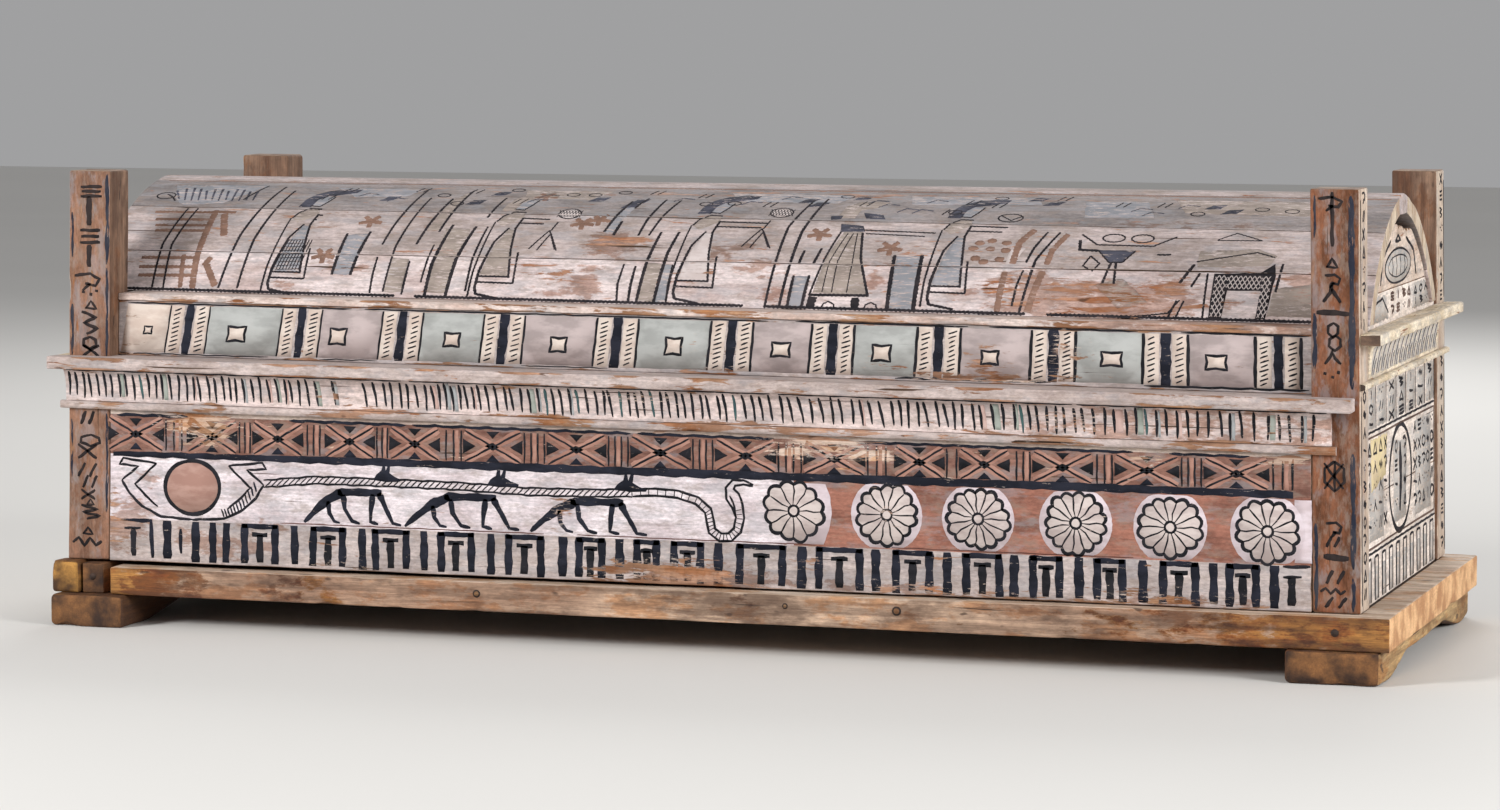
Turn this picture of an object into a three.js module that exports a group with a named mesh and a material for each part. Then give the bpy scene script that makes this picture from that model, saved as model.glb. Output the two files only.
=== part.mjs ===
// Painted wooden coffin with a vaulted roof, four corner posts and a cavetto cornice.
// The case is a hollow hood with no floor. It rests on a base of planks with two runners.
// Millimetres, +Z up, +X along the length towards the open gable, -Y the main painted side.
import * as THREE from 'three';
import { RoundedBoxGeometry } from 'three/addons/geometries/RoundedBoxGeometry.js';

// ---- Driving dimensions ----

const CASE_LENGTH = 1900; // over the posts, at their feet
const CASE_WIDTH = 662; // over the posts
const POST_HEIGHT = 565;
const POST_X = 66;
const POST_Y = 61;
const BACK_LEFT_POST_X = 78; // this post is thicker than the others
const POST_ROUND = 5;
const JOINT_GAP = 0.4; // between pieces that touch

const BATTER = 10; // each end leans in by this much at the post tops
const CORNICE_FALL = 9; // the cornice and eaves end this much lower on the right
const FALL_START = 165; // the fall grows from none at this height
const FALL_FULL = 215; // to all of it at this one

const WALL_THICKNESS = 28;
const WALL_TOP = 274.6; // lower wall
const LEDGE_BOTTOM = WALL_TOP + JOINT_GAP;
const LEDGE_TOP = 293;
const LEDGE_FRONT = 31; // how far the ledge stands out from the posts
const LEDGE_LEFT = -970;
const LEDGE_RIGHT = 943;
const PANEL_RECESS = 28; // the upper wall stands this far behind the posts' faces
const PANEL_THICKNESS = 26;
const EAVES_BOTTOM = 373;
const EAVES_TOP = 383;
const EAVES_INNER = 228;

const CAVETTO_BOTTOM = 228;
const CAVETTO_FOOT = 5; // thickness at the bottom edge
const CAVETTO_FLARE = 16; // how much further out the top edge stands
const CAVETTO_LEFT = -951;
const CAVETTO_RIGHT = 912;
const TORUS_BOTTOM = 216;
const TORUS_DEPTH = 11;
const TORUS_LEFT = -960;
const TORUS_RIGHT = 918;

// The vault is a two-centred arch: each side is an arc whose centre lies past the middle.
const VAULT_RADIUS = 346;
const VAULT_OFFSET = 39;
const VAULT_CENTRE_Z = 201;
const VAULT_THICKNESS = 24;
const RIDGE_HALF_WIDTH = 33; // along the arc
const UPPER_SEAM_LEFT = 134; // arc length from the ridge line to the seam
const UPPER_SEAM_RIGHT = 148;
const LOWER_SEAM = 235;
const VAULT_STATIONS = 10;
const ARC_STEPS = 6;

const END_THICKNESS = 28;
const END_RECESS = 5; // the end boards lie this far behind the posts' end faces
const END_SEAM_LOW = 145;
const END_SEAM_MIDDLE = 297;
const GABLE_FOOT = 417;
const GABLE_THICKNESS = 22;
const GABLE_BREAK_LOW = 492; // height of the broken top edge, far side
const GABLE_BREAK_HIGH = 510; // and near side
const GABLE_OPEN_JOINT = 12; // shrinkage gap down the far side
const RIGHT_LEDGE_BOTTOM = 358;
const RIGHT_LEDGE_TOP = 373;
const RIGHT_LEDGE_FRONT = 28;
const RIGHT_TORUS_BOTTOM = 298;
const RIGHT_TORUS_TOP = 307;
const END_CAVETTO_FLARE = 9;

const BASE_LENGTH = 1958;
const BASE_WIDTH = 710;
const BASE_THICKNESS = 46;
const BASE_PLANKS = 4;
const BASE_FALL = 6.5; // the planks are this much thinner at the left end
const BATTEN_WIDTH = 43;
const TIE_WIDTH = 34;
const TIE_RECESS = 7;
const BATTEN_GAP = 3;
const PLANK_LEFT = -886; // where the planks start, right of the battens
const RUNNER_HEIGHT = 46;
const RUNNER_CORNER = 14;
const RUNNER_ARCH = 20; // rise of the hollow under each runner
const RUNNER_FOOT = 70; // flat foot length at each end of a runner
const LEFT_RUNNER = { centre: -916, width: 115, length: 748 };
const RIGHT_RUNNER = { centre: 898, width: 120, length: 716 };

const CASE_SHIFT = -14; // the case sits a little left of the base's middle
const CASE_Z = RUNNER_HEIGHT + BASE_THICKNESS + 2 * JOINT_GAP;

// ---- Places worked out from them ----

const HALF_LENGTH = CASE_LENGTH / 2;
const POST_FACE = CASE_WIDTH / 2;
const POST_INNER_X = HALF_LENGTH - POST_X;
const POST_INNER_Y = POST_FACE - POST_Y;
const WALL_END = POST_INNER_X - JOINT_GAP;
const BACK_WALL_LEFT = BACK_LEFT_POST_X + JOINT_GAP - HALF_LENGTH;
const END_HALF_WIDTH = POST_INNER_Y - JOINT_GAP;
const PLANTED = POST_FACE + JOINT_GAP; // back of what is planted on the long sides
const END_FACE = HALF_LENGTH - END_RECESS;
const PANEL_FACE = POST_FACE - PANEL_RECESS;
const PANEL_BACK = PANEL_FACE - PANEL_THICKNESS;
const APEX_ANGLE = Math.asin(VAULT_OFFSET / VAULT_RADIUS);

// ---- Finishes ----

function finish(colour, roughness) {
  return new THREE.MeshStandardMaterial({ color: colour, roughness, metalness: 0 });
}

const paintedPanel = finish(0xc9b09c, 0.85);
const paintedPost = finish(0xa9775c, 0.85);
const bareWood = finish(0xb58a5e, 0.8);
const runnerWood = finish(0x8f6f57, 0.85);

// ---- Shaping ----

const coffin = new THREE.Group();
const hood = new THREE.Group();
hood.position.set(CASE_SHIFT, 0, CASE_Z);
coffin.add(hood);

function place(parent, name, geometry, material) {
  const mesh = new THREE.Mesh(geometry, material);
  mesh.name = name;
  parent.add(mesh);
}

// How far the cornice has dropped at x, for a point at height z.
function fallAt(x, z) {
  const share = THREE.MathUtils.clamp((z - FALL_START) / (FALL_FULL - FALL_START), 0, 1);
  return (-CORNICE_FALL * share * x) / CASE_LENGTH;
}

// Leans both ends inwards in proportion to height, and drops the cornice where asked.
function settle(geometry, follows) {
  const position = geometry.getAttribute('position');
  for (let i = 0; i < position.count; i += 1) {
    const x = position.getX(i);
    const z = position.getZ(i);
    const height = follows ? z + fallAt(x, z) : z;
    position.setX(i, x * (1 - (BATTER / HALF_LENGTH) * (height / POST_HEIGHT)));
    position.setZ(i, height);
  }
  return geometry;
}

// A sawn board with slightly rounded edges, from its limits on X, Y and Z.
function board([x0, x1], [y0, y1], [z0, z1], round = 2, steps = 1) {
  const geometry = new RoundedBoxGeometry(x1 - x0, y1 - y0, z1 - z0, steps, round);
  geometry.translate((x0 + x1) / 2, (y0 + y1) / 2, (z0 + z1) / 2);
  return geometry;
}

function outline(points) {
  return new THREE.Shape(points.map(([a, b]) => new THREE.Vector2(a, b)));
}

function extrude(shape, depth) {
  return new THREE.ExtrudeGeometry(shape, { depth, bevelEnabled: false, curveSegments: 8 });
}

// An outline in plan, from z0 up to z1.
function plate(shape, z0, z1) {
  return extrude(shape, z1 - z0).translate(0, 0, z0);
}

// An outline across the coffin, in Y and Z, run along X.
function alongX(shape, x0, x1) {
  const turn = new THREE.Matrix4().makeBasis(
    new THREE.Vector3(0, 1, 0),
    new THREE.Vector3(0, 0, 1),
    new THREE.Vector3(1, 0, 0),
  );
  return extrude(shape, x1 - x0).applyMatrix4(turn).translate(x0, 0, 0);
}

// An outline along the coffin, in X and Z, run along Y.
function alongY(shape, y0, y1) {
  const turn = new THREE.Matrix4().makeBasis(
    new THREE.Vector3(1, 0, 0),
    new THREE.Vector3(0, 0, 1),
    new THREE.Vector3(0, -1, 0),
  );
  return extrude(shape, y1 - y0).applyMatrix4(turn).translate(0, y1, 0);
}

// ---- Base: two runners, long planks, and two cross battens at the left end ----

// Side view of a runner: square ends with rounded lower corners and a shallow hollow below.
function runnerShape(length) {
  const end = length / 2;
  const hollow = end - RUNNER_FOOT;
  const shape = new THREE.Shape();
  shape.moveTo(-end, RUNNER_HEIGHT);
  shape.lineTo(-end, RUNNER_CORNER);
  shape.quadraticCurveTo(-end, 0, -end + RUNNER_CORNER, 0);
  shape.lineTo(-hollow, 0);
  shape.bezierCurveTo(-hollow / 2, RUNNER_ARCH, -hollow / 2, RUNNER_ARCH, 0, RUNNER_ARCH);
  shape.bezierCurveTo(hollow / 2, RUNNER_ARCH, hollow / 2, RUNNER_ARCH, hollow, 0);
  shape.lineTo(end - RUNNER_CORNER, 0);
  shape.quadraticCurveTo(end, 0, end, RUNNER_CORNER);
  shape.lineTo(end, RUNNER_HEIGHT);
  return shape;
}

function addRunner(name, runner) {
  const x0 = runner.centre - runner.width / 2;
  const x1 = runner.centre + runner.width / 2;
  place(coffin, name, alongX(runnerShape(runner.length), x0, x1), runnerWood);
}

// Thins a plank towards its left end, from the top.
function thinLeft(geometry) {
  const position = geometry.getAttribute('position');
  const run = BASE_LENGTH / 2 - PLANK_LEFT;
  for (let i = 0; i < position.count; i += 1) {
    const share = (BASE_LENGTH / 2 - position.getX(i)) / run;
    const lift = (position.getZ(i) - RUNNER_HEIGHT) / BASE_THICKNESS;
    position.setZ(i, position.getZ(i) - BASE_FALL * share * lift);
  }
  return geometry;
}

function addBase() {
  const z0 = RUNNER_HEIGHT + JOINT_GAP;
  const z1 = z0 + BASE_THICKNESS;
  const left = -BASE_LENGTH / 2;
  const width = BASE_WIDTH / BASE_PLANKS;
  const names = ['front', 'front_middle', 'back_middle', 'back'];
  names.forEach((name, i) => {
    const y0 = -BASE_WIDTH / 2 + i * width;
    const y = [y0 + (i > 0 ? JOINT_GAP : 0), y0 + width];
    const plank = thinLeft(board([PLANK_LEFT, BASE_LENGTH / 2], y, [z0, z1]));
    place(coffin, `base_plank_${name}`, plank, bareWood);
  });
  const batten = [left, left + BATTEN_WIDTH];
  const tie = [batten[1] + BATTEN_GAP, batten[1] + BATTEN_GAP + TIE_WIDTH];
  const half = BASE_WIDTH / 2;
  const tieHalf = half - TIE_RECESS;
  place(coffin, 'base_end_batten', board(batten, [-half, half], [z0, z1], 5, 2), bareWood);
  place(coffin, 'base_inner_batten', board(tie, [-tieHalf, tieHalf], [z0, z1 - 3]), runnerWood);
}

addRunner('base_runner_left', LEFT_RUNNER);
addRunner('base_runner_right', RIGHT_RUNNER);
addBase();

// ---- Corner posts ----

function addPost(name, endSide, faceSide, width = POST_X) {
  const x = [(HALF_LENGTH - width) * endSide, HALF_LENGTH * endSide].sort((a, b) => a - b);
  const y = [POST_INNER_Y * faceSide, POST_FACE * faceSide].sort((a, b) => a - b);
  const geometry = settle(board(x, y, [0, POST_HEIGHT], POST_ROUND, 2), false);
  place(hood, name, geometry, paintedPost);
}

addPost('post_front_left', -1, -1);
addPost('post_front_right', 1, -1);
addPost('post_back_left', -1, 1, BACK_LEFT_POST_X);
addPost('post_back_right', 1, 1);

// ---- Long sides: wall, torus, cavetto, ledge, panel board and eaves strip ----

// Plan of the ledge: it passes in front of the posts and reaches in between them. The left
// end of the wall it stands on is given.
function ledgeShape(side, wallLeft) {
  const front = (POST_FACE + LEDGE_FRONT) * side;
  return outline([
    [LEDGE_LEFT, front],
    [LEDGE_RIGHT, front],
    [LEDGE_RIGHT, PLANTED * side],
    [WALL_END, PLANTED * side],
    [WALL_END, PANEL_BACK * side],
    [wallLeft, PANEL_BACK * side],
    [wallLeft, PLANTED * side],
    [LEDGE_LEFT, PLANTED * side],
  ]);
}

// A hollow moulding: upright at its foot and curling out to its top edge.
// Across is measured out from a back face, which stands at the given place.
function cavettoShape(back, side, z0, z1, foot, flare) {
  const points = [[back, z0]];
  for (let i = 0; i <= ARC_STEPS; i += 1) {
    const rise = i / ARC_STEPS;
    const out = foot + flare * (1 - Math.sqrt(1 - 0.96 * rise * rise));
    points.push([back + side * out, z0 + rise * (z1 - z0)]);
  }
  points.push([back, z1]);
  return outline(points);
}

// A half-round bead.
function torusShape(back, side, z0, z1, depth) {
  const points = [];
  for (let i = 0; i <= 2 * ARC_STEPS; i += 1) {
    const turn = (Math.PI * i) / (2 * ARC_STEPS);
    const height = (z0 + z1) / 2 - ((z1 - z0) / 2) * Math.cos(turn);
    points.push([back + side * depth * Math.sin(turn), height]);
  }
  return outline(points);
}

function addLongSide(name, side) {
  const wallFace = POST_FACE - 0.5;
  const ordered = (a, b) => [a * side, b * side].sort((p, q) => p - q);
  const left = side > 0 ? BACK_WALL_LEFT : -WALL_END;
  const length = [left, WALL_END];
  const parts = {
    wall: board(length, ordered(wallFace - WALL_THICKNESS, wallFace), [0, WALL_TOP]),
    ledge: plate(ledgeShape(side, left), LEDGE_BOTTOM, LEDGE_TOP),
    cavetto: alongX(
      cavettoShape(PLANTED * side, side, CAVETTO_BOTTOM, WALL_TOP, CAVETTO_FOOT, CAVETTO_FLARE),
      CAVETTO_LEFT,
      CAVETTO_RIGHT,
    ),
    torus: alongX(
      torusShape(PLANTED * side, side, TORUS_BOTTOM, CAVETTO_BOTTOM - JOINT_GAP, TORUS_DEPTH),
      TORUS_LEFT,
      TORUS_RIGHT,
    ),
    panel_board: board(
      length,
      ordered(PANEL_BACK, PANEL_FACE),
      [LEDGE_TOP + JOINT_GAP, EAVES_BOTTOM - JOINT_GAP],
    ),
    eaves_strip: board(length, ordered(EAVES_INNER, PANEL_FACE + 3), [EAVES_BOTTOM, EAVES_TOP]),
  };
  Object.entries(parts).forEach(([part, geometry]) => {
    place(hood, `${name}_${part}`, settle(geometry, true), paintedPanel);
  });
}

addLongSide('front', -1);
addLongSide('back', 1);

// ---- Vault: three tapering planks a side and a ridge board ----

// A point on an arc of the vault, at an angle from the vertical.
function archPoint(radius, angle) {
  return [radius * Math.sin(angle) - VAULT_OFFSET, VAULT_CENTRE_Z + radius * Math.cos(angle)];
}

function angleAtArc(length) {
  return APEX_ANGLE + length / VAULT_RADIUS;
}

function angleAtHeight(radius, z) {
  return Math.acos((z - VAULT_CENTRE_Z) / radius);
}

function archHalfWidth(radius, z) {
  return archPoint(radius, angleAtHeight(radius, z))[0];
}

// Joins equal rings of points into a closed solid. Each ring runs along the outer face and
// back along the inner one, so its ends are closed by a strip between the two faces.
function loft(rings) {
  const count = rings[0].length;
  const half = count / 2;
  const index = [];
  for (let i = 0; i + 1 < rings.length; i += 1) {
    for (let j = 0; j < count; j += 1) {
      const a = i * count + j;
      const b = i * count + ((j + 1) % count);
      index.push(a, a + count, b, b, a + count, b + count);
    }
  }
  const last = (rings.length - 1) * count;
  for (let j = 0; j + 1 < half; j += 1) {
    const outer = [j, j + 1];
    const inner = [count - 1 - j, count - 2 - j];
    index.push(outer[0], outer[1], inner[0], outer[1], inner[1], inner[0]);
    index.push(last + outer[0], last + inner[0], last + outer[1]);
    index.push(last + outer[1], last + inner[0], last + inner[1]);
  }
  const geometry = new THREE.BufferGeometry();
  geometry.setAttribute('position', new THREE.Float32BufferAttribute(rings.flat(2), 3));
  geometry.setIndex(index);
  return geometry;
}

// One plank. The edges function gives, at x, the outer and inner angles of its two edges.
function plank(side, edges) {
  const inner = VAULT_RADIUS - VAULT_THICKNESS;
  const rings = [];
  for (let i = 0; i <= VAULT_STATIONS; i += 1) {
    const x = -HALF_LENGTH + (CASE_LENGTH * i) / VAULT_STATIONS;
    const edge = edges(x);
    const outside = [];
    const inside = [];
    for (let j = 0; j <= ARC_STEPS; j += 1) {
      const share = j / ARC_STEPS;
      const outerAngle = THREE.MathUtils.lerp(edge.outer[0], edge.outer[1], share);
      const innerAngle = THREE.MathUtils.lerp(edge.inner[0], edge.inner[1], share);
      outside.push([x, ...archPoint(VAULT_RADIUS, outerAngle)]);
      inside.unshift([x, ...archPoint(inner, innerAngle)]);
    }
    const ring = [...outside, ...inside].map(([px, py, pz]) => [px, py * side, pz]);
    rings.push(side < 0 ? ring.reverse() : ring);
  }
  return settle(loft(rings), false);
}

const SEAM_GAP = 0.5 / VAULT_RADIUS; // as an angle

function upperSeam(x) {
  const share = x / CASE_LENGTH + 0.5;
  return angleAtArc(THREE.MathUtils.lerp(UPPER_SEAM_LEFT, UPPER_SEAM_RIGHT, share));
}

// Both faces of the lowest plank are cut level on the eaves strip, whose fall they follow.
function footAngles(x) {
  const z = EAVES_TOP + JOINT_GAP + fallAt(x, EAVES_TOP);
  return {
    outer: angleAtHeight(VAULT_RADIUS, z),
    inner: angleAtHeight(VAULT_RADIUS - VAULT_THICKNESS, z),
  };
}

function betweenSeams(from, to) {
  return (x) => {
    const edge = [from(x) + SEAM_GAP, to(x)];
    return { outer: edge, inner: edge };
  };
}

function lowestPlank(x) {
  const top = angleAtArc(LOWER_SEAM) + SEAM_GAP;
  const foot = footAngles(x);
  return { outer: [top, foot.outer], inner: [top, foot.inner] };
}

function addVaultSide(name, side) {
  const ridge = () => angleAtArc(RIDGE_HALF_WIDTH);
  const lower = () => angleAtArc(LOWER_SEAM);
  const planks = {
    upper: betweenSeams(ridge, upperSeam),
    middle: betweenSeams(upperSeam, lower),
    lower: lowestPlank,
  };
  Object.entries(planks).forEach(([part, edges]) => {
    place(hood, `vault_${name}_${part}`, plank(side, edges), paintedPanel);
  });
}

// The ridge board is slightly crowned over the meeting of the two arcs.
function ridgeBoard() {
  const edge = angleAtArc(RIDGE_HALF_WIDTH);
  const [outerY, outerZ] = archPoint(VAULT_RADIUS, edge);
  const [innerY, innerZ] = archPoint(VAULT_RADIUS - VAULT_THICKNESS, edge);
  const crown = archPoint(VAULT_RADIUS, APEX_ANGLE)[1];
  const rings = [-HALF_LENGTH, HALF_LENGTH].map((x) => {
    const outside = [];
    const inside = [];
    for (let j = 0; j <= ARC_STEPS; j += 1) {
      const across = 1 - (2 * j) / ARC_STEPS;
      outside.push([x, outerY * across, crown - (crown - outerZ) * across * across]);
      inside.unshift([x, innerY * across, innerZ]);
    }
    return [...outside, ...inside].reverse();
  });
  return settle(loft(rings), false);
}

addVaultSide('front', -1);
addVaultSide('back', 1);
place(hood, 'vault_ridge_board', ridgeBoard(), paintedPanel);

// ---- Ends: three boards and a gable board each, with planted mouldings ----

// The top board steps in at the eaves, to pass between the feet of the vault.
function shoulderBoard(endSide) {
  const shoulder = EAVES_TOP + fallAt(HALF_LENGTH * endSide, EAVES_TOP) - JOINT_GAP;
  const inside = VAULT_RADIUS - VAULT_THICKNESS - 1;
  const half = END_HALF_WIDTH;
  const points = [
    [-half, END_SEAM_MIDDLE + JOINT_GAP],
    [half, END_SEAM_MIDDLE + JOINT_GAP],
    [half, shoulder],
    [archHalfWidth(inside, shoulder), shoulder],
    [archHalfWidth(inside, GABLE_FOOT), GABLE_FOOT],
    [-archHalfWidth(inside, GABLE_FOOT), GABLE_FOOT],
    [-archHalfWidth(inside, shoulder), shoulder],
    [-half, shoulder],
  ];
  return outline(points);
}

// The gable board follows the inside of the vault up to its top edge. An open joint is
// left down the far side, and the top edge runs from nearTop down to farTop.
function gableShape(nearTop, farTop, openJoint) {
  const inside = VAULT_RADIUS - VAULT_THICKNESS - 1;
  const foot = GABLE_FOOT + JOINT_GAP;
  const near = [];
  const far = [];
  for (let i = 0; i <= ARC_STEPS; i += 1) {
    const share = i / ARC_STEPS;
    const nearZ = THREE.MathUtils.lerp(foot, nearTop, share);
    const farZ = THREE.MathUtils.lerp(foot, farTop, share);
    near.unshift([-archHalfWidth(inside, nearZ), nearZ]);
    far.push([archHalfWidth(inside, farZ) - openJoint * share, farZ]);
  }
  return outline([...far, ...near]);
}

// Plan of an end ledge: notched over the two posts, and against the boards between them.
function endLedgeShape(endSide, front, halfWidth) {
  const planted = HALF_LENGTH + JOINT_GAP;
  const seat = END_FACE + JOINT_GAP;
  const half = END_HALF_WIDTH;
  const points = [
    [front, -halfWidth],
    [front, halfWidth],
    [planted, halfWidth],
    [planted, half],
    [seat, half],
    [seat, -half],
    [planted, -half],
    [planted, -halfWidth],
  ];
  return outline(points.map(([x, y]) => [x * endSide, y]));
}

function addEndBoards(name, endSide, gable) {
  const x = [END_FACE * endSide, (END_FACE - END_THICKNESS) * endSide].sort((a, b) => a - b);
  const y = [-END_HALF_WIDTH, END_HALF_WIDTH];
  const gableX = endSide > 0 ? [x[1] - GABLE_THICKNESS, x[1]] : [x[0], x[0] + GABLE_THICKNESS];
  const parts = {
    board_low: board(x, y, [0, END_SEAM_LOW]),
    board_middle: board(x, y, [END_SEAM_LOW + JOINT_GAP, END_SEAM_MIDDLE]),
    board_top: alongX(shoulderBoard(endSide), ...x),
    gable_board: alongX(gable, ...gableX),
  };
  Object.entries(parts).forEach(([part, geometry]) => {
    place(hood, `${name}_${part}`, settle(geometry, false), paintedPanel);
  });
}

// The right end's mouldings run across the posts, higher than those of the long sides.
function addRightMouldings() {
  const planted = HALF_LENGTH + JOINT_GAP;
  const parts = {
    ledge: plate(
      endLedgeShape(1, HALF_LENGTH + RIGHT_LEDGE_FRONT, POST_FACE),
      RIGHT_LEDGE_BOTTOM,
      RIGHT_LEDGE_TOP,
    ),
    cavetto: alongY(
      cavettoShape(
        END_FACE + JOINT_GAP,
        1,
        RIGHT_TORUS_TOP + JOINT_GAP,
        RIGHT_LEDGE_BOTTOM - JOINT_GAP,
        CAVETTO_FOOT,
        END_CAVETTO_FLARE,
      ),
      -END_HALF_WIDTH,
      END_HALF_WIDTH,
    ),
    torus: alongY(
      torusShape(planted, 1, RIGHT_TORUS_BOTTOM, RIGHT_TORUS_TOP, TORUS_DEPTH - 2),
      -POST_FACE,
      POST_FACE,
    ),
  };
  Object.entries(parts).forEach(([part, geometry]) => {
    place(hood, `right_end_${part}`, settle(geometry, false), paintedPanel);
  });
}

// The left end's mouldings meet those of the long sides, so they follow their fall.
function addLeftMouldings() {
  const back = -(END_FACE + JOINT_GAP);
  const width = [-END_HALF_WIDTH, END_HALF_WIDTH];
  const ledge = endLedgeShape(-1, -LEDGE_LEFT - 2, POST_FACE - JOINT_GAP);
  const parts = {
    ledge: plate(ledge, LEDGE_BOTTOM, LEDGE_TOP),
    cavetto: alongY(
      cavettoShape(back, -1, CAVETTO_BOTTOM, WALL_TOP, CAVETTO_FOOT, END_CAVETTO_FLARE),
      ...width,
    ),
    torus: alongY(
      torusShape(back, -1, TORUS_BOTTOM, CAVETTO_BOTTOM - JOINT_GAP, TORUS_DEPTH),
      ...width,
    ),
  };
  Object.entries(parts).forEach(([part, geometry]) => {
    place(hood, `left_end_${part}`, settle(geometry, true), paintedPanel);
  });
}

const WHOLE_GABLE_TOP = 512;
addEndBoards('right_end', 1, gableShape(GABLE_BREAK_HIGH, GABLE_BREAK_LOW, GABLE_OPEN_JOINT));
addEndBoards('left_end', -1, gableShape(WHOLE_GABLE_TOP, WHOLE_GABLE_TOP, 0));
addRightMouldings();
addLeftMouldings();

export default coffin;
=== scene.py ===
import math

import bpy
import numpy as np
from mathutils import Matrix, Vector
from mathutils.geometry import delaunay_2d_cdt


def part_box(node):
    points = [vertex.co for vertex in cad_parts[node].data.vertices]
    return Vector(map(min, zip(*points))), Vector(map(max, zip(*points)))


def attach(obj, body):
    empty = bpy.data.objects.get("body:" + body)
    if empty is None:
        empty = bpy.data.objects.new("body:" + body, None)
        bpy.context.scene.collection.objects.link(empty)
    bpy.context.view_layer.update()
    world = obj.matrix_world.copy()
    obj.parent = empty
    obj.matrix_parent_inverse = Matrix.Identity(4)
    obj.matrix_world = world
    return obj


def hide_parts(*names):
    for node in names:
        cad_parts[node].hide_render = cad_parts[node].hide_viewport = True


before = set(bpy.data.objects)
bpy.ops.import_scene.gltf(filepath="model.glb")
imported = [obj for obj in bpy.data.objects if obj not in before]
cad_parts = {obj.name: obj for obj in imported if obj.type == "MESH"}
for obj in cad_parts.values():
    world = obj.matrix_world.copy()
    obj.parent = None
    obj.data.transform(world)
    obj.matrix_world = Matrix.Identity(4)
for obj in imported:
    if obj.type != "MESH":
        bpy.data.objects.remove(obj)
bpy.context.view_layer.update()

# ------------------------
# Camera. It stands to the right of the middle at a little over the coffin's height, and
# looks slightly left and down with a long lens, so the main side and the right end show.
camera_data = bpy.data.cameras.new("camera")
camera_data.sensor_width = 36
camera_data.lens = 110.2
camera_data.clip_end = 60
camera = bpy.data.objects.new("camera", camera_data)
camera.location = (2.052, -6.328, 0.94)
yaw, pitch = math.radians(-18.19), math.radians(-5.36)
camera_aim = Vector((math.sin(yaw) * math.cos(pitch), math.cos(yaw) * math.cos(pitch), math.sin(pitch)))
camera.rotation_euler = camera_aim.to_track_quat("-Z", "Y").to_euler()
bpy.context.scene.collection.objects.link(camera)
bpy.context.scene.camera = camera
bpy.context.scene.view_settings.view_transform = "Standard"

# ------------------------
# Floor and light. A plain pale studio floor and three soft lamps: a key from the upper
# left of the main side, a fill for the right end, and a weak one from behind.


def linear(code):
    """Turns an sRGB hex colour such as "#c8b49a" into linear RGBA by the sRGB curve."""
    parts = [int(code[i:i + 2], 16) / 255 for i in (1, 3, 5)]
    return tuple(p / 12.92 if p <= 0.04045 else ((p + 0.055) / 1.055) ** 2.4 for p in parts) + (1,)


def add(tree, kind, inputs=None, **settings):
    """Adds one node to a tree. Settings are its own properties, inputs are values or links by socket."""
    made = tree.nodes.new(kind)
    for name, value in settings.items():
        setattr(made, name, value)
    for socket, value in (inputs or {}).items():
        if isinstance(value, bpy.types.NodeSocket):
            tree.links.new(value, made.inputs[socket])
        else:
            made.inputs[socket].default_value = value
    return made


def new_material(name):
    """An empty node material with its output and shader: returns the material, tree and shader."""
    material = bpy.data.materials.new(name)
    material.use_nodes = True
    tree = material.node_tree
    tree.nodes.clear()
    shader = add(tree, "ShaderNodeBsdfPrincipled")
    add(tree, "ShaderNodeOutputMaterial", {"Surface": shader.outputs[0]})
    return material, tree, shader


floor_material, floor_tree, floor_shader = new_material("pale studio floor")
floor_place = add(floor_tree, "ShaderNodeTexCoord").outputs["Object"]
floor_cloud = add(floor_tree, "ShaderNodeTexNoise", {"Vector": floor_place, "Scale": 0.8, "Detail": 2})
floor_mix = add(
    floor_tree, "ShaderNodeMix", {0: floor_cloud.outputs[0], 6: linear("#d9d7d3"), 7: linear("#e0deda")},
    data_type="RGBA")
floor_tree.links.new(floor_mix.outputs[2], floor_shader.inputs["Base Color"])
floor_shader.inputs["Roughness"].default_value = 0.9
floor_mesh = bpy.data.meshes.new("floor")
reach = 14
floor_mesh.from_pydata(
    [(-reach, -reach, 0), (reach, -reach, 0), (reach, reach, 0), (-reach, reach, 0)], [], [(0, 1, 2, 3)])
floor_mesh.materials.append(floor_material)
floor = bpy.data.objects.new("floor", floor_mesh)
bpy.context.scene.collection.objects.link(floor)

world = bpy.data.worlds.new("studio")
bpy.context.scene.world = world
world.use_nodes = True
world.node_tree.nodes["Background"].inputs[0].default_value = (0.8, 0.8, 0.81, 1)
world.node_tree.nodes["Background"].inputs[1].default_value = 0.44

for lamp_name, place, aim, size, power in (
        ("key", (-3.3, -4.6, 2.7), (0, 0, 0.3), 1.6, 262), ("fill", (4.8, -2, 2), (0.9, 0, 0.3), 1.8, 190),
        ("rim", (-0.5, 4.5, 3.2), (0, 0, 0.4), 3, 120)):
    lamp_data = bpy.data.lights.new(lamp_name, "AREA")
    lamp_data.shape = "DISK"
    lamp_data.size = size
    lamp_data.energy = power
    lamp = bpy.data.objects.new(lamp_name, lamp_data)
    lamp.location = place
    lamp.rotation_euler = (Vector(aim) - Vector(place)).to_track_quat("-Z", "Y").to_euler()
    bpy.context.scene.collection.objects.link(lamp)

# ------------------------
# Runners. Two squared lengths of dark softwood lie across under the base. Each is hollowed
# along its underside so that it stands on its two ends, and its edges are rubbed round.
MM = 0.001


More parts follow.
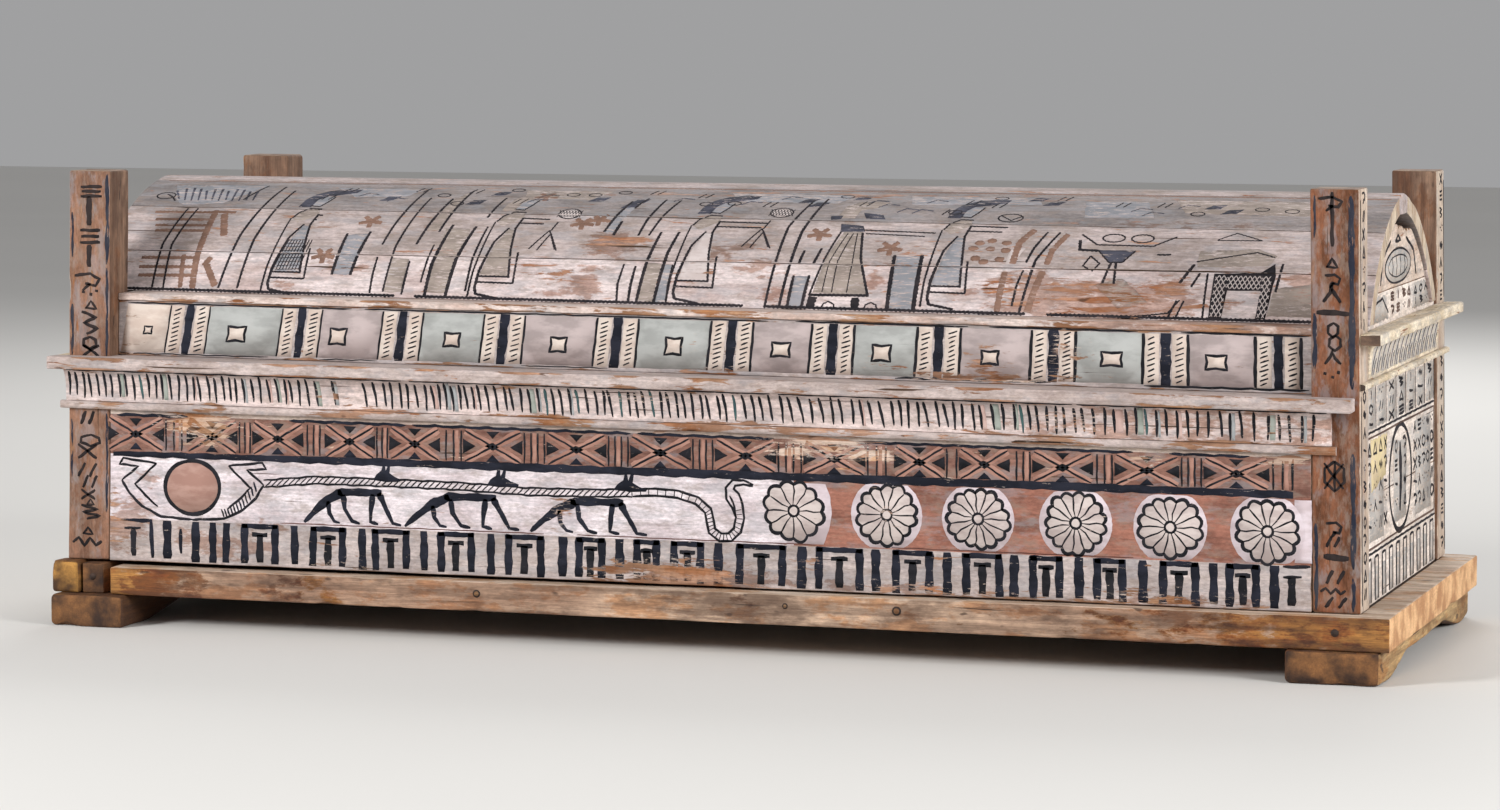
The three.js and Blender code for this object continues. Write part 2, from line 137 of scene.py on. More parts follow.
def ripple(points, size, seed, waves=8):
    """A smooth random field of about -1 to 1: the mean of sines that run in random directions, with
    lengths near size."""
    rng = np.random.default_rng(seed)
    heading = rng.normal(size=(waves, 3))
    heading /= np.linalg.norm(heading, axis=1)[:, None]
    lengths = size * rng.uniform(0.6, 1.7, waves)
    phase = rng.uniform(0, 2 * np.pi, waves)
    angle = points @ (heading / lengths[:, None]).T * 2 * np.pi + phase
    return np.sin(angle).sum(axis=1) / math.sqrt(waves / 1.3)


def ticks(low, high, step, rounding, also=()):
    """Places along one side of a board: close together near both ends, where the edge is rounded, even
    between, and at the extra places asked for."""
    near = rounding * np.array([0, 0.3, 0.65, 1, 1.7, 3])
    near = near[near < 0.45 * (high - low)]
    count = max(2, int(round((high - low - 2 * near[-1]) / step)) + 1)
    inner = np.linspace(low + near[-1], high - near[-1], count)
    places = np.concatenate([low + near[:-1], inner, high - near[:-1], np.asarray(also, float)])
    return np.unique(np.round(places, 4))


def grid_faces(rows, columns):
    """Quads of a rows by columns grid of points numbered row by row."""
    i, j = np.meshgrid(np.arange(rows - 1), np.arange(columns - 1), indexing="ij")
    corner = (i * columns + j).ravel()
    return np.stack([corner, corner + columns, corner + columns + 1, corner + 1], axis=1)


def slab(low, high, steps, rounding, also=((), (), ())):
    """The skin of a box as a grid on each of its six sides, welded along the edges. Returns points,
    quads, and each quad's side: 0 to 5 for -X, +X, -Y, +Y, -Z, +Z."""
    lines = [ticks(low[k], high[k], steps[k], rounding, also[k]) for k in range(3)]
    points, faces, sides, start = [], [], [], 0
    for k in range(3):
        i, j = (k + 1) % 3, (k + 2) % 3
        a, b = np.meshgrid(lines[i], lines[j], indexing="ij")
        for end in (0, 1):
            sheet = np.empty(a.shape + (3,))
            sheet[..., i], sheet[..., j], sheet[..., k] = a, b, (low, high)[end][k]
            quads = grid_faces(*a.shape) + start
            faces.append(quads if end else quads[:, ::-1])
            sides.append(np.full(len(quads), 2 * k + end))
            points.append(sheet.reshape(-1, 3))
            start += a.size
    welded, index = np.unique(np.round(np.concatenate(points), 3), axis=0, return_inverse=True)
    return welded, index.reshape(-1)[np.concatenate(faces)], np.concatenate(sides)


def worn(points, low, high, rounding, seed, bite=4):
    """Rounds edges and corners: each point is drawn to a set distance from a box that much smaller.
    The distance wanders along the edge, and grows in short stretches where the edge was knocked."""
    low, high = np.asarray(low, float), np.asarray(high, float)
    knocks = np.clip(ripple(points, 46, seed + 1) - 1, 0, 1)
    reach_in = rounding * (1 + 0.35 * ripple(points, 120, seed)) + bite * knocks
    reach_in = np.clip(reach_in, 0.3, 0.45 * (high - low).min())[:, None]
    core = np.clip(points, low + reach_in, high - reach_in)
    away = points - core
    return core + away / np.linalg.norm(away, axis=1)[:, None] * reach_in


def build(name, points_m, faces, materials, indices=None, smooth=True, wear=None,
          stain=None):
    """Makes the mesh object from arrays, in metres, and lets it ride on the coffin. Wear and stain are
    shares from 0 to 1 at each point, kept as attributes for the materials."""
    mesh = bpy.data.meshes.new(name)
    mesh.from_pydata(points_m.tolist(), [], faces if isinstance(faces, list) else faces.tolist())
    for material in materials:
        mesh.materials.append(material)
    if indices is not None:
        mesh.polygons.foreach_set("material_index", np.asarray(indices, dtype=np.int32))
    for label, share in (("wear", wear), ("stain", stain)):
        if share is not None:
            mesh.attributes.new(label, "FLOAT", "POINT").data.foreach_set("value", share.astype(np.float32))
    mesh.polygons.foreach_set("use_smooth", np.full(len(faces), smooth))
    mesh.update()
    piece = bpy.data.objects.new(name, mesh)
    bpy.context.scene.collection.objects.link(piece)
    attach(piece, "root")
    return piece


def add_grain(tree, along, length, width, detail=4, roughness=0.6, distortion=0):
    """Noise stretched along the grain: along is 0, 1 or 2 for X, Y or Z, and length and width are the
    size in millimetres of one streak."""
    place = add(tree, "ShaderNodeTexCoord").outputs["Object"]
    scale = [1000 / width] * 3
    scale[along] = 1000 / length
    stretched = add(tree, "ShaderNodeMapping", {"Vector": place, "Scale": scale})
    return add(tree, "ShaderNodeTexNoise",
               {"Vector": stretched.outputs[0], "Scale": 1, "Detail": detail, "Roughness": roughness,
                "Distortion": distortion}).outputs[0]


def overlay(tree, under, pattern, low, high, over, strength=1, blend="MIX"):
    """Lays one colour over another where a pattern rises from low to high, at most by the strength.
    Returns the new colour, and how much was laid."""
    laid = add(tree, "ShaderNodeMapRange", {"Value": pattern, "From Min": low, "From Max": high,
                                            "To Max": strength}, interpolation_type="SMOOTHSTEP").outputs[0]
    over = linear(over) if isinstance(over, str) else over
    mixed = add(tree, "ShaderNodeMix", {0: laid, 6: under, 7: over}, data_type="RGBA", blend_type=blend)
    return mixed.outputs[2], laid


def shaded(tree, colour, pattern, darkest, lightest, low=0.3, high=0.7):
    """Darkens and lightens a colour by a factor that follows a pattern as it rises from low to high."""
    factor = add(tree, "ShaderNodeMapRange", {"Value": pattern, "From Min": low, "From Max": high,
                                              "To Min": darkest, "To Max": lightest}).outputs[0]
    return add(tree, "ShaderNodeMix", {0: 1, 6: colour, 7: factor}, data_type="RGBA",
               blend_type="MULTIPLY").outputs[2]


def raised(tree, pattern, label, amount):
    """A pattern raised by an attribute of the mesh, times an amount."""
    share = add(tree, "ShaderNodeAttribute", attribute_name=label).outputs["Fac"]
    return add(tree, "ShaderNodeMath", {0: share, 1: amount, 2: pattern},
               operation="MULTIPLY_ADD").outputs[0]


def finished(name, recipe, bump, roughness, specular=0.5):
    """Makes a material whose recipe, given a tree, returns its colour and height. Bump is the strength
    and distance of the relief that the height gives."""
    material, tree, shader = new_material(name)
    colour, height = recipe(tree)[:2]
    relief = add(tree, "ShaderNodeBump", {"Height": height, "Strength": bump[0], "Distance": bump[1]})
    tree.links.new(colour, shader.inputs["Base Color"])
    tree.links.new(relief.outputs[0], shader.inputs["Normal"])
    shader.inputs["Roughness"].default_value = roughness
    shader.inputs["Specular IOR Level"].default_value = specular
    return material


def add_wood(tree, along, dark, middle, light):
    """Bare old wood: slow changes of tone, long soft streaks, fibres, grime, knots and dark shakes."""
    fibre = add_grain(tree, along, 34, 1.6, 3, 0.7)
    colour, _ = overlay(tree, linear(middle), add_grain(tree, along, 420, 110, 2), 0.35, 0.65, light)
    colour, _ = overlay(tree, colour, add_grain(tree, along, 260, 11, 3, 0.55, 0.6), 0.36, 0.66, dark, 0.55)
    for pattern in (fibre, add_grain(tree, along, 17, 8, 5, 0.75)):
        colour = shaded(tree, colour, pattern, 0.7, 1.24, 0.28, 0.72)
    colour, _ = overlay(tree, colour, add_grain(tree, along, 120, 38, 5, 0.66), 0.45, 0.62, dark, 0.68)
    colour, _ = overlay(
        tree, colour, add_grain(tree, along, 84, 36, 5, 0.7), 0.5, 0.6, "#ecc8a0", 0.75, "MULTIPLY")
    colour, _ = overlay(tree, colour, add_grain(tree, along, 46, 19, 1.5, 0.5), 0.685, 0.73, "#38241a", 0.75)
    colour, shake = overlay(tree, colour, add_grain(tree, along, 330, 7, 2, 0.5, 0.3), 0.69, 0.74, "#2a1c13")
    return colour, add(tree, "ShaderNodeMath", {0: fibre, 1: shake}, operation="SUBTRACT").outputs[0]


def bare_wood(name, along, dark, middle, light, tints=(("stain", "#e2bb70"), ("wear", "#b89c82"))):
    """Bare wood as a finished material. Its fibres and shakes also dent the surface, and it takes each
    tint in ragged patches by the attribute named with it: yellow by stain and brown by wear."""
    def recipe(tree):
        colour, height = add_wood(tree, along, dark, middle, light)
        for label, tint in tints:
            ragged = raised(tree, add_grain(tree, along, 40, 17, 4, 0.7), label, 0.5)
            colour, _ = overlay(tree, colour, ragged, 0.66, 0.8, tint, 1, "MULTIPLY")
        return colour, height
    return finished(name, recipe, (0.6, 0.0012), 0.75)


def end_grain(name, dark, light, roughness=0.8):
    """Sawn end grain: fine pores with a drift of tone, and short radial checks."""
    def recipe(tree):
        place = add(tree, "ShaderNodeTexCoord").outputs["Object"]
        pores, drift = [add(tree, "ShaderNodeTexNoise", {"Vector": place, "Scale": scale, "Detail": 3})
                        .outputs[0] for scale in (420, 26)]
        rings = add(tree, "ShaderNodeTexWave", {"Vector": place, "Scale": 55, "Distortion": 6, "Detail": 2},
                    wave_type="RINGS", rings_direction="X").outputs[1]
        colour, _ = overlay(tree, linear(dark), drift, 0.35, 0.65, light)
        faint = add(tree, "ShaderNodeMath", {0: rings, 1: 0.35}, operation="MULTIPLY").outputs[0]
        colour = add(tree, "ShaderNodeMix", {0: faint, 6: colour, 7: linear(dark)},
                     data_type="RGBA").outputs[2]
        return shaded(tree, colour, pores, 0.78, 1.15), pores
    return finished(name, recipe, (0.5, 0.0008), roughness)


def box_mm(node):
    """A node's lowest and highest corners, in millimetres."""
    return [np.array(corner) * 1000 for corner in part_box(node)]


def turned_box(low, high, signs):
    """The corners of a box on the side that the signs give, sorted again into lowest and highest."""
    return np.sort(np.array([low, high]) * np.array(signs), axis=0)


runner_side = bare_wood("dark sawn softwood, across", 1, "#382011", "#56351b", "#6d4822")
runner_end = end_grain("dark softwood end grain", "#2c170a", "#83572f")
# Paler wood for the right runner's outer face: painted light, as if lit from the right.
runner_lit_side = bare_wood("sawn softwood paled as painted light, across", 1, "#6e5030", "#b08c5c", "#d0ae7c", ())
RUNNER_ARCH = 20  # rise of the hollow
RUNNER_FOOT = 70  # length of each foot
OUTER_FACE = 9  # how far the right-hand runner's outer face, paler as painted light from the right, is brought out


def runner(node, seed, brought_out):
    """A rounded box whose underside rises in a smooth hump between its two feet. Its outer face may be
    brought out, and is then paler wood, as painted light from the right."""
    low, high = box_mm(node)
    points, faces, sides = slab(low, high, (10, 12, 8), 6)
    points = worn(points, low, high, 7, seed, 9)
    across = np.clip(1 - np.abs(points[:, 1]) / (high[1] - RUNNER_FOOT), 0, 1)
    hump = RUNNER_ARCH * np.sin(0.5 * np.pi * np.clip(1.9 * across, 0, 1)) ** 2
    share = (high[2] - points[:, 2]) / (high[2] - low[2])
    points[:, 2] += hump * share
    points[:, 0] += brought_out * (points[:, 0] - low[0]) / (high[0] - low[0])
    piece = build(
        node + "_worn", points * MM, faces, [runner_side, runner_end, runner_lit_side],
        np.select([np.isin(sides, (2, 3)), (sides == 1) & (brought_out > 0)], [1, 2]))
    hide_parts(node)


runner("base_runner_left", 11, 0)
runner("base_runner_right", 12, OUTER_FACE)

# ------------------------
# Base planks. Four long boards of pale softwood, edge to edge, pegged down to the runners.
# They thin a little to the left, so a dark gap shows under the case there; the plank tops under the case are
# dark, both grime and painted shade.
plank_side = bare_wood("bare softwood, lengthwise", 0, "#4a3224", "#9d7b64", "#cbac92")
plank_top = bare_wood("sun-bleached softwood, lengthwise", 0, "#a0866f", "#cdb4a0", "#dccab8", ())
# Plank tops under the case: grimy, and darker still as painted shade under the case.
plank_covered = bare_wood("grimy softwood darkened as painted shade under the case", 0, "#2a1e17", "#3f2e24", "#524034")
plank_end = end_grain("pale softwood end grain", "#b5845a", "#efc291")
COVERED = (938, 327)  # half length and half width of the part under the case
# Where the planks have yellowed and browned, along them and across: middle, half size, and strength.
YELLOWED = (
    (-880, 0, 130, 900, 0.9), (930, 0, 300, 900, 0.8), (-560, 0, 60, 900, 0.4), (640, 0, 120, 900, 0.4))
BROWNED = (
    (-800, 0, 80, 900, 0.8), (800, 0, 330, 900, 0.36), (-620, 0, 50, 900, 0.5), (60, 0, 60, 900, 0.3))


def patches(u, v, places):
    """How strongly each point lies in soft oval patches, 0 to 1: full in the middle, none past the rim."""
    total = np.zeros(len(u))
    for middle_u, middle_v, half_u, half_v, strength in places:
        reach_out = np.hypot((u - middle_u) / half_u, (v - middle_v) / half_v)
        total = np.maximum(total, strength * np.clip(1.35 - reach_out, 0, 1))
    return total


def base_plank(node, seed):
    """A board whose top slopes evenly from its full height at the right to the CAD board's left height."""
    low, high = box_mm(node)
    heights = np.empty(len(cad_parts[node].data.vertices) * 3)
    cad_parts[node].data.vertices.foreach_get("co", heights)
    corners = heights.reshape(-1, 3) * 1000
    left_top = corners[corners[:, 0] < low[0] + 20][:, 2].max()
    points, faces, sides = slab(low, high, (9, 30, 12), 3)
    points = worn(points, low, high, 2.5, seed, 8)
    run = (high[0] - points[:, 0]) / (high[0] - low[0])
    points[:, 2] -= (high[2] - left_top) * run * (points[:, 2] - low[2]) / (high[2] - low[2])
    centre = points[faces].mean(axis=1)
    covered = (np.abs(centre[:, 0]) < COVERED[0]) & (np.abs(centre[:, 1]) < COVERED[1])
    piece = build(
        node + "_worn", points * MM, faces, [plank_side, plank_end, plank_top, plank_covered],
        np.select([sides < 2, (sides == 5) & covered, sides == 5], [1, 3, 2]),
        wear=patches(points[:, 0], points[:, 1], BROWNED),
        stain=patches(points[:, 0], points[:, 1], YELLOWED))
    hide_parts(node)


for index, plank in enumerate(("base_plank_front", "base_plank_front_middle", "base_plank_back_middle",
                               "base_plank_back")):
    base_plank(plank, 21 + index)

# ------------------------
# Battens. At the left end two boards lie across the base: a yellow outer one with knocked
# corners and, in a slot beside it, a darker inner one with a peg in its end.
batten_side = bare_wood("yellow softwood, across", 1, "#482c13", "#835828", "#a67938")
batten_end = end_grain("yellow softwood end grain", "#40260b", "#b8853f")
inner_side = bare_wood("brown softwood, across", 1, "#432815", "#6b4526", "#8a5e37")


def cross_board(node, side_material, end_material, rounding, seed, bite):
    """A straight board lying across the coffin, with worn edges."""
    low, high = box_mm(node)
    points, faces, sides = slab(low, high, (8, 12, 10), rounding)
    points = worn(points, low, high, rounding, seed, bite)
    piece = build(node + "_worn", points * MM, faces, [side_material, end_material], np.isin(sides, (2, 3)))
    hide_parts(node)


cross_board("base_end_batten", batten_side, batten_end, 6, 31, 9)
cross_board("base_inner_batten", inner_side, runner_end, 2.5, 32, 4)

# ------------------------
# Corner posts. Squared uprights that stand past the roof, lean in a little, and carry a
# thin red earth wash on their long-side faces and cream on their end faces.
post_low, post_high = box_mm("post_front_right")
far_low, far_high = box_mm("post_back_left")
CASE_X = (post_high[0] + far_low[0]) / 2  # middle of the case along the base
CASE_Z = post_low[2]  # its underside
HALF = (post_high[0] - far_low[0]) / 2  # half its length at the feet
FACE = far_high[1]  # the posts' faces, from the middle
POST_HEIGHT = post_high[2] - post_low[2]
BATTER = 10  # how far an end leans in, at the post tops
POST_WIDTH = 66
THICK_POST_WIDTH = 78  # the back left one
POST_DEPTH = post_high[1] - post_low[1]
CORNICE_FALL = 9  # the cornice ends this much lower on the right
FALL_START, FALL_FULL = 165, 215  # heights between which the fall comes in


def settle(points, follows=False):
    """From a true box to the settled case, in metres: x shrinks in proportion to height, and what
    follows the cornice drops in proportion to x."""
    x, y, z = points[:, 0], points[:, 1], points[:, 2]
    if follows:
        share = np.clip((z - FALL_START) / (FALL_FULL - FALL_START), 0, 1)
        z = z - CORNICE_FALL * share * x / (2 * HALF)
    lean = 1 - (BATTER / HALF) * (z / POST_HEIGHT)
    return np.stack([x * lean + CASE_X, y, z + CASE_Z], axis=1) * MM


def add_gesso(tree, along, light, shade, bare, wear):
    """Old gesso on a plank. Blotches mix two tints, streaks and grit vary them, dust and grey dull them.
    Where stretched noise, raised by the wear attribute, passes the wear level, wood shows instead.
    The stain attribute, with ragged edges, adds ochre."""
    wood, wood_height = add_wood(tree, along, *bare)
    coat, _ = overlay(tree, linear(light), add_grain(tree, along, 95, 34, 4, 0.6), 0.38, 0.66, shade)
    coat = shaded(tree, coat, add_grain(tree, along, 90, 4.2, 4, 0.7), 0.74, 1.14)
    coat = shaded(tree, coat, add_grain(tree, along, 8, 3.4, 4, 0.75), 0.72, 1.22)
    coat, _ = overlay(tree, coat, add_grain(tree, along, 30, 12, 6, 0.7), 0.46, 0.66, "#8f7f74", 0.5)
    coat, _ = overlay(tree, coat, add_grain(tree, along, 58, 21, 5, 0.66), 0.5, 0.62, "#94959a", 0.34)
    stained = raised(tree, add_grain(tree, along, 44, 17, 6, 0.7), "stain", 0.5)
    coat, _ = overlay(tree, coat, stained, 0.7, 0.79, "#cfb5a6", 0.85, "MULTIPLY")
    rubbed = raised(tree, add_grain(tree, along, 62, 9, 6, 0.68, 0.4), "wear", 0.28)
    colour, gone = overlay(tree, coat, rubbed, wear, wear + 0.06, wood)
    colour, check = overlay(tree, colour, add_grain(tree, along, 240, 5, 2, 0.5), 0.71, 0.735, "#4a382c")
    height = add(tree, "ShaderNodeMath", {0: wood_height, 1: 0.35}, operation="MULTIPLY").outputs[0]
    for sunk in (gone, check):
        height = add(tree, "ShaderNodeMath", {0: height, 1: sunk}, operation="SUBTRACT").outputs[0]
    return colour, height, gone


def gesso(name, along, light, shade, bare, wear=0.62, roughness=0.86):
    """Worn gesso as a finished material, matt, with the lost patches slightly sunk."""
    return finished(name, lambda tree: add_gesso(tree, along, light, shade, bare, wear), (0.55, 0.0009),
                    roughness, 0.2)


BARE = ("#7c5a45", "#a07a5e", "#b8917a")             # wood under the gesso: dark, middle, light
post_wash = gesso("red earth wash on an upright", 2, "#946d58", "#765645", BARE, 0.6)
post_umber = gesso("dark brown wash on an upright", 2, "#87573f", "#5c3a27", BARE, 0.6)
post_cream = gesso("cream gesso on an upright", 2, "#cdbba9", "#b59f8e", BARE, 0.6)
post_bare = bare_wood("bare brown wood, upright", 2, "#4e3526", "#7a5a45", "#957660")
post_top = end_grain("brown end grain", "#6f5442", "#a38a76")


def post(node, end, face, width, seed):
    """A worn upright: washed on its long-side face, cream on its end face, bare inside and on top."""
    box = turned_box((HALF - width, FACE - POST_DEPTH, 0), (HALF, FACE, POST_HEIGHT), (end, face, 1))
    points, faces, sides = slab(*box, (9, 9, 9), 3.5)
    points = worn(points, *box, 3.2, seed, 5)
    paint = np.full(6, 2)
    paint[2 if face < 0 else 3] = 0
    paint[0 if end < 0 else 1] = 1
    paint[4:] = 3
    piece = build(node + "_worn", settle(points), faces,
                  [post_umber if end > 0 else post_wash, post_cream, post_bare, post_top],
                  paint[sides])
    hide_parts(node)


post("post_front_left", -1, -1, POST_WIDTH, 41)
post("post_front_right", 1, -1, POST_WIDTH, 42)
post("post_back_left", -1, 1, THICK_POST_WIDTH, 43)
post("post_back_right", 1, 1, POST_WIDTH, 44)

# ------------------------
# Lower walls. Long boards between the posts, gessoed and painted in bands: a panelled
# front at the foot, a picture band, a dark stripe, and a red frieze under the cornice.
WALL_END = HALF - POST_WIDTH - 0.4
BACK_LEFT_END = HALF - THICK_POST_WIDTH - 0.4
WALL_FACE = FACE - 0.5
WALL_THICK = 28
WALL_TOP = 274.6
FOOT_TOP = 62  # top of the panelled foot
BAND_TOP = 156  # top of the picture band
FRIEZE_TOP = 210
RED_START = 159  # the picture band is red earth to the right of here

ground_grey = gesso("grey cream gesso", 0, "#c6b8b4", "#a89c99", BARE, 0.63)
ground_white = gesso("pale pink gesso", 0, "#e8dde0", "#cfc1c4", BARE, 0.65)
ground_red = gesso("red earth on gesso", 0, "#a67160", "#82574a", BARE, 0.64)
FRIEZE_BARE = ("#a58672", "#c6a994", "#d9c3b3")
ground_frieze = gesso("brown red earth on gesso", 0, "#8d675a", "#704e44", FRIEZE_BARE, 0.63)
ground_cream = gesso("cream gesso", 0, "#cdbbae", "#b5a197", BARE, 0.63)

# Where paint has flaked or been stained on the main side: middle, half size, and strength.
FRONT_FLAKES = (
    (-742, 200, 62, 30, 0.9), (200, 200, 120, 21, 0.85), (-25, 6, 115, 30, 1), (846, 204, 44, 15, 0.8),
    (662, 203, 34, 14, 0.8), (330, 6, 60, 14, 0.7), (-520, 6, 60, 12, 0.45), (700, 8, 130, 14, 0.55),
    (291, 112, 14, 14, 0.8), (-872, 60, 22, 60, 0.6), (500, 2, 380, 9, 0.5), (-180, 90, 26, 24, 0.5))
FRONT_STAINS = (
    (-852, 60, 60, 46, 0.75), (-700, 30, 110, 30, 0.6), (-640, 60, 70, 14, 0.5), (-830, 125, 40, 26, 0.5),
    (40, 8, 160, 26, 0.55), (700, 6, 200, 20, 0.4), (300, 6, 160, 16, 0.4))


def wall(node, face, seed, flakes, stains):
    """A worn board whose outer face takes its ground colours by height and place."""
    box = turned_box((-WALL_END if face < 0 else -BACK_LEFT_END, WALL_FACE - WALL_THICK, 0),
                     (WALL_END, WALL_FACE, WALL_TOP), (1, face, 1))
    bands = (0, FOOT_TOP, BAND_TOP, FRIEZE_TOP)
    points, faces, sides = slab(*box, (18, 28, 8), 2.5, ((RED_START,), (), bands[1:]))
    centre = points[faces].mean(axis=1)
    points = worn(points, *box, 2, seed, 3)
    level = np.clip(np.searchsorted(bands, centre[:, 2]) - 1, 0, 3)
    paint = np.choose(level, (0, 1, 3, 4))
    paint = np.where((level == 1) & (face < 0) & (centre[:, 0] > RED_START), 2, paint)
    paint = np.where(sides == (2 if face < 0 else 3), paint, 5)
    piece = build(
        node + "_worn", settle(points, True), faces,
        [ground_grey, ground_white, ground_red, ground_frieze, ground_cream, plank_side], paint,
        wear=patches(points[:, 0], points[:, 2], flakes), stain=patches(points[:, 0], points[:, 2], stains))
    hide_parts(node)


wall("front_wall", -1, 51, FRONT_FLAKES, FRONT_STAINS)
wall("back_wall", 1, 52, (), ())

# ------------------------
# Mouldings of the long sides. A thin half-round bead, a hollow cavetto and a projecting
# ledge, each one length planted across the posts, gessoed and knocked along its edges.
PLANTED = FACE + 0.4
BEAD = (216, 227.6)
BEAD_DEPTH = 11
HOLLOW = (228, WALL_TOP)
HOLLOW_FOOT, HOLLOW_FLARE = 5, 16
LEDGE = (275, 293)
LEDGE_REACH = 31
HOLLOW_GRIME = ((820, 250, 500, 900, 0.5),)  # the browned right-hand part, as in the stain lists
RUBBED_EDGE = 5  # how far in from an edge the gesso is rubbed off
PANEL_FACE = FACE - 28
PANEL_BACK = PANEL_FACE - 26
ledge_gesso = gesso("pale gesso on the ledge", 0, "#c7b7b2", "#b2a19b", BARE, 0.6)
hollow_gesso = gesso("pale gesso in the hollow", 0, "#e3d0cb", "#c9b7b2", BARE, 0.63)


def hollow_out(share, foot, flare):
    """How far the cavetto stands out at a share of its height: upright at the foot, curling out on top."""
    return foot + flare * (1 - np.sqrt(1 - 0.96 * np.clip(share, 0, 1) ** 2))


def hollow(points, back, rise, foot, flare):
    """Bends a straight strip: its depth, from the back plane, becomes the cavetto's at that height."""
    deep = hollow_out((points[:, 2] - rise[0]) / (rise[1] - rise[0]), foot, flare)
    outward = (np.abs(points[:, 1]) - back) / (foot + flare)
    points[:, 1] = np.sign(points[:, 1]) * (back + deep * outward)
    return points


def bead(points, back, rise, depth):
    """Bends a straight strip into a half-round: height turns through half a circle, depth is its radius."""
    middle, half = (rise[0] + rise[1]) / 2, (rise[1] - rise[0]) / 2
    turn = np.clip((points[:, 2] - middle) / half, -1, 1) * 0.5 * np.pi
    outward = (np.abs(points[:, 1]) - back) / depth
    points[:, 2] = middle + half * np.sin(turn)
    points[:, 1] = np.sign(points[:, 1]) * (back + depth * outward * (0.08 + 0.92 * np.cos(turn)))
    return points


def side_strip(node, face, ends, depth, rise, material, seed, bend=None, rounding=1.6, bite=4, also=(),
               stains=()):
    """One moulding of a long side: a worn strip, bent to its section, settled with the case."""
    box = turned_box((ends[0], depth[0], rise[0]), (ends[1], depth[1], rise[1]), (1, face, 1))
    points, faces, _ = slab(*box, (14, 8, 5), rounding, (also, (), ()))
    points = worn(points, *box, rounding, seed, bite)
    from_edge = np.hypot(
        depth[1] - np.abs(points[:, 1]), np.minimum(points[:, 2] - rise[0], rise[1] - points[:, 2]))
    rubbed = (np.clip(1.1 - from_edge / RUBBED_EDGE, 0, 1)
              * np.clip(0.4 + 0.6 * ripple(points, 130, seed), 0, 1))
    if bend:
        points = bend(points)
    piece = build(node + "_worn", settle(points, True), faces, [material], wear=rubbed,
                  stain=patches(points[:, 0], points[:, 2], stains))
    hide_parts(node)


def notch(points):
    """Draws the ledge's inner edge forward past the walls' ends, so that it passes before the posts."""
    inner, outer = PANEL_BACK, PLANTED + LEDGE_REACH
    out = np.abs(points[:, 1])
    ahead = PLANTED + (out - inner) / (outer - inner) * (outer - PLANTED)
    left = np.where(points[:, 1] < 0, WALL_END, BACK_LEFT_END)
    past = (points[:, 0] > WALL_END + 0.1) | (points[:, 0] < -left - 0.1)
    points[:, 1] = np.sign(points[:, 1]) * np.where(past, ahead, out)
    return points


for face, side_name, left_end, seed in ((-1, "front", WALL_END, 61), (1, "back", BACK_LEFT_END, 71)):
    side_strip(side_name + "_ledge", face, (-970, 943), (PANEL_BACK, FACE + LEDGE_REACH), LEDGE, ledge_gesso,
               seed, notch, 2.6, 6, (-left_end, -left_end - 0.3, WALL_END, WALL_END + 0.3))
    side_strip(
        side_name + "_cavetto", face, (-951, 912), (PLANTED, PLANTED + HOLLOW_FOOT + HOLLOW_FLARE), HOLLOW,
        hollow_gesso, seed + 1, lambda points: hollow(points, PLANTED, HOLLOW, HOLLOW_FOOT, HOLLOW_FLARE),
        1.2, 2.5, stains=HOLLOW_GRIME)
    side_strip(side_name + "_torus", face, (-960, 918), (PLANTED, PLANTED + BEAD_DEPTH), BEAD, ledge_gesso,
               seed + 2, lambda points: bead(points, PLANTED, BEAD, BEAD_DEPTH), 0.8, 1)

# ------------------------
# Upper walls. A narrow painted board stands behind the ledge, with a thin gessoed rail on it
# that carries the foot of the vault.
PANEL = (293.4, 372.6)
RAIL = (373, 383)
RAIL_INNER = 228
RAIL_GRIME = ((820, 378, 500, 900, 0.62),)  # the browned right-hand part, as in the stain lists
panel_gesso = gesso("grey gesso of the upper board", 0, "#bfb3b0", "#a09593", BARE, 0.62)
rail_gesso = gesso("pinkish gesso on the rail", 0, "#e3d2ca", "#c6aca0", ("#7a543c", "#a3795c", "#bb9476"),
                   0.6)

for face, side_name, left_end, seed in ((-1, "front", WALL_END, 81), (1, "back", BACK_LEFT_END, 85)):
    side_strip(side_name + "_panel_board", face, (-left_end, WALL_END), (PANEL_BACK, PANEL_FACE), PANEL,
               panel_gesso, seed, None, 1.6, 2)
    side_strip(side_name + "_eaves_strip", face, (-left_end, WALL_END), (RAIL_INNER, PANEL_FACE + 3), RAIL,
               rail_gesso, seed + 1, None, 1.8, 3, stains=RAIL_GRIME)

# ------------------------
# Vault. Three tapering planks a side follow two shallow arcs that meet under a crowned
# ridge board. All are gessoed; their seams have opened a little.
VAULT_RADIUS = 346
VAULT_OFFSET = 39
VAULT_CENTRE = 201
VAULT_THICK = 24
RIDGE_HALF = 33
UPPER_SEAM = (134, 148)  # arc length at the left and right ends
LOWER_SEAM = 235
APEX = math.asin(VAULT_OFFSET / VAULT_RADIUS)
VAULT_BARE = ("#8a6048", "#b0836a", "#c79a80")
vault_gesso = gesso("gesso of the vault", 0, "#c4b4b1", "#a2948f", VAULT_BARE, 0.6)
vault_grey = gesso("grey gesso of the vault", 0, "#9d9391", "#817a79", ("#8a6048", "#a58270", "#b9998a"),
                   0.61)
vault_pale = gesso("pale gesso of the vault foot", 0, "#dccdcb", "#c0aca8",
                   VAULT_BARE, 0.61)


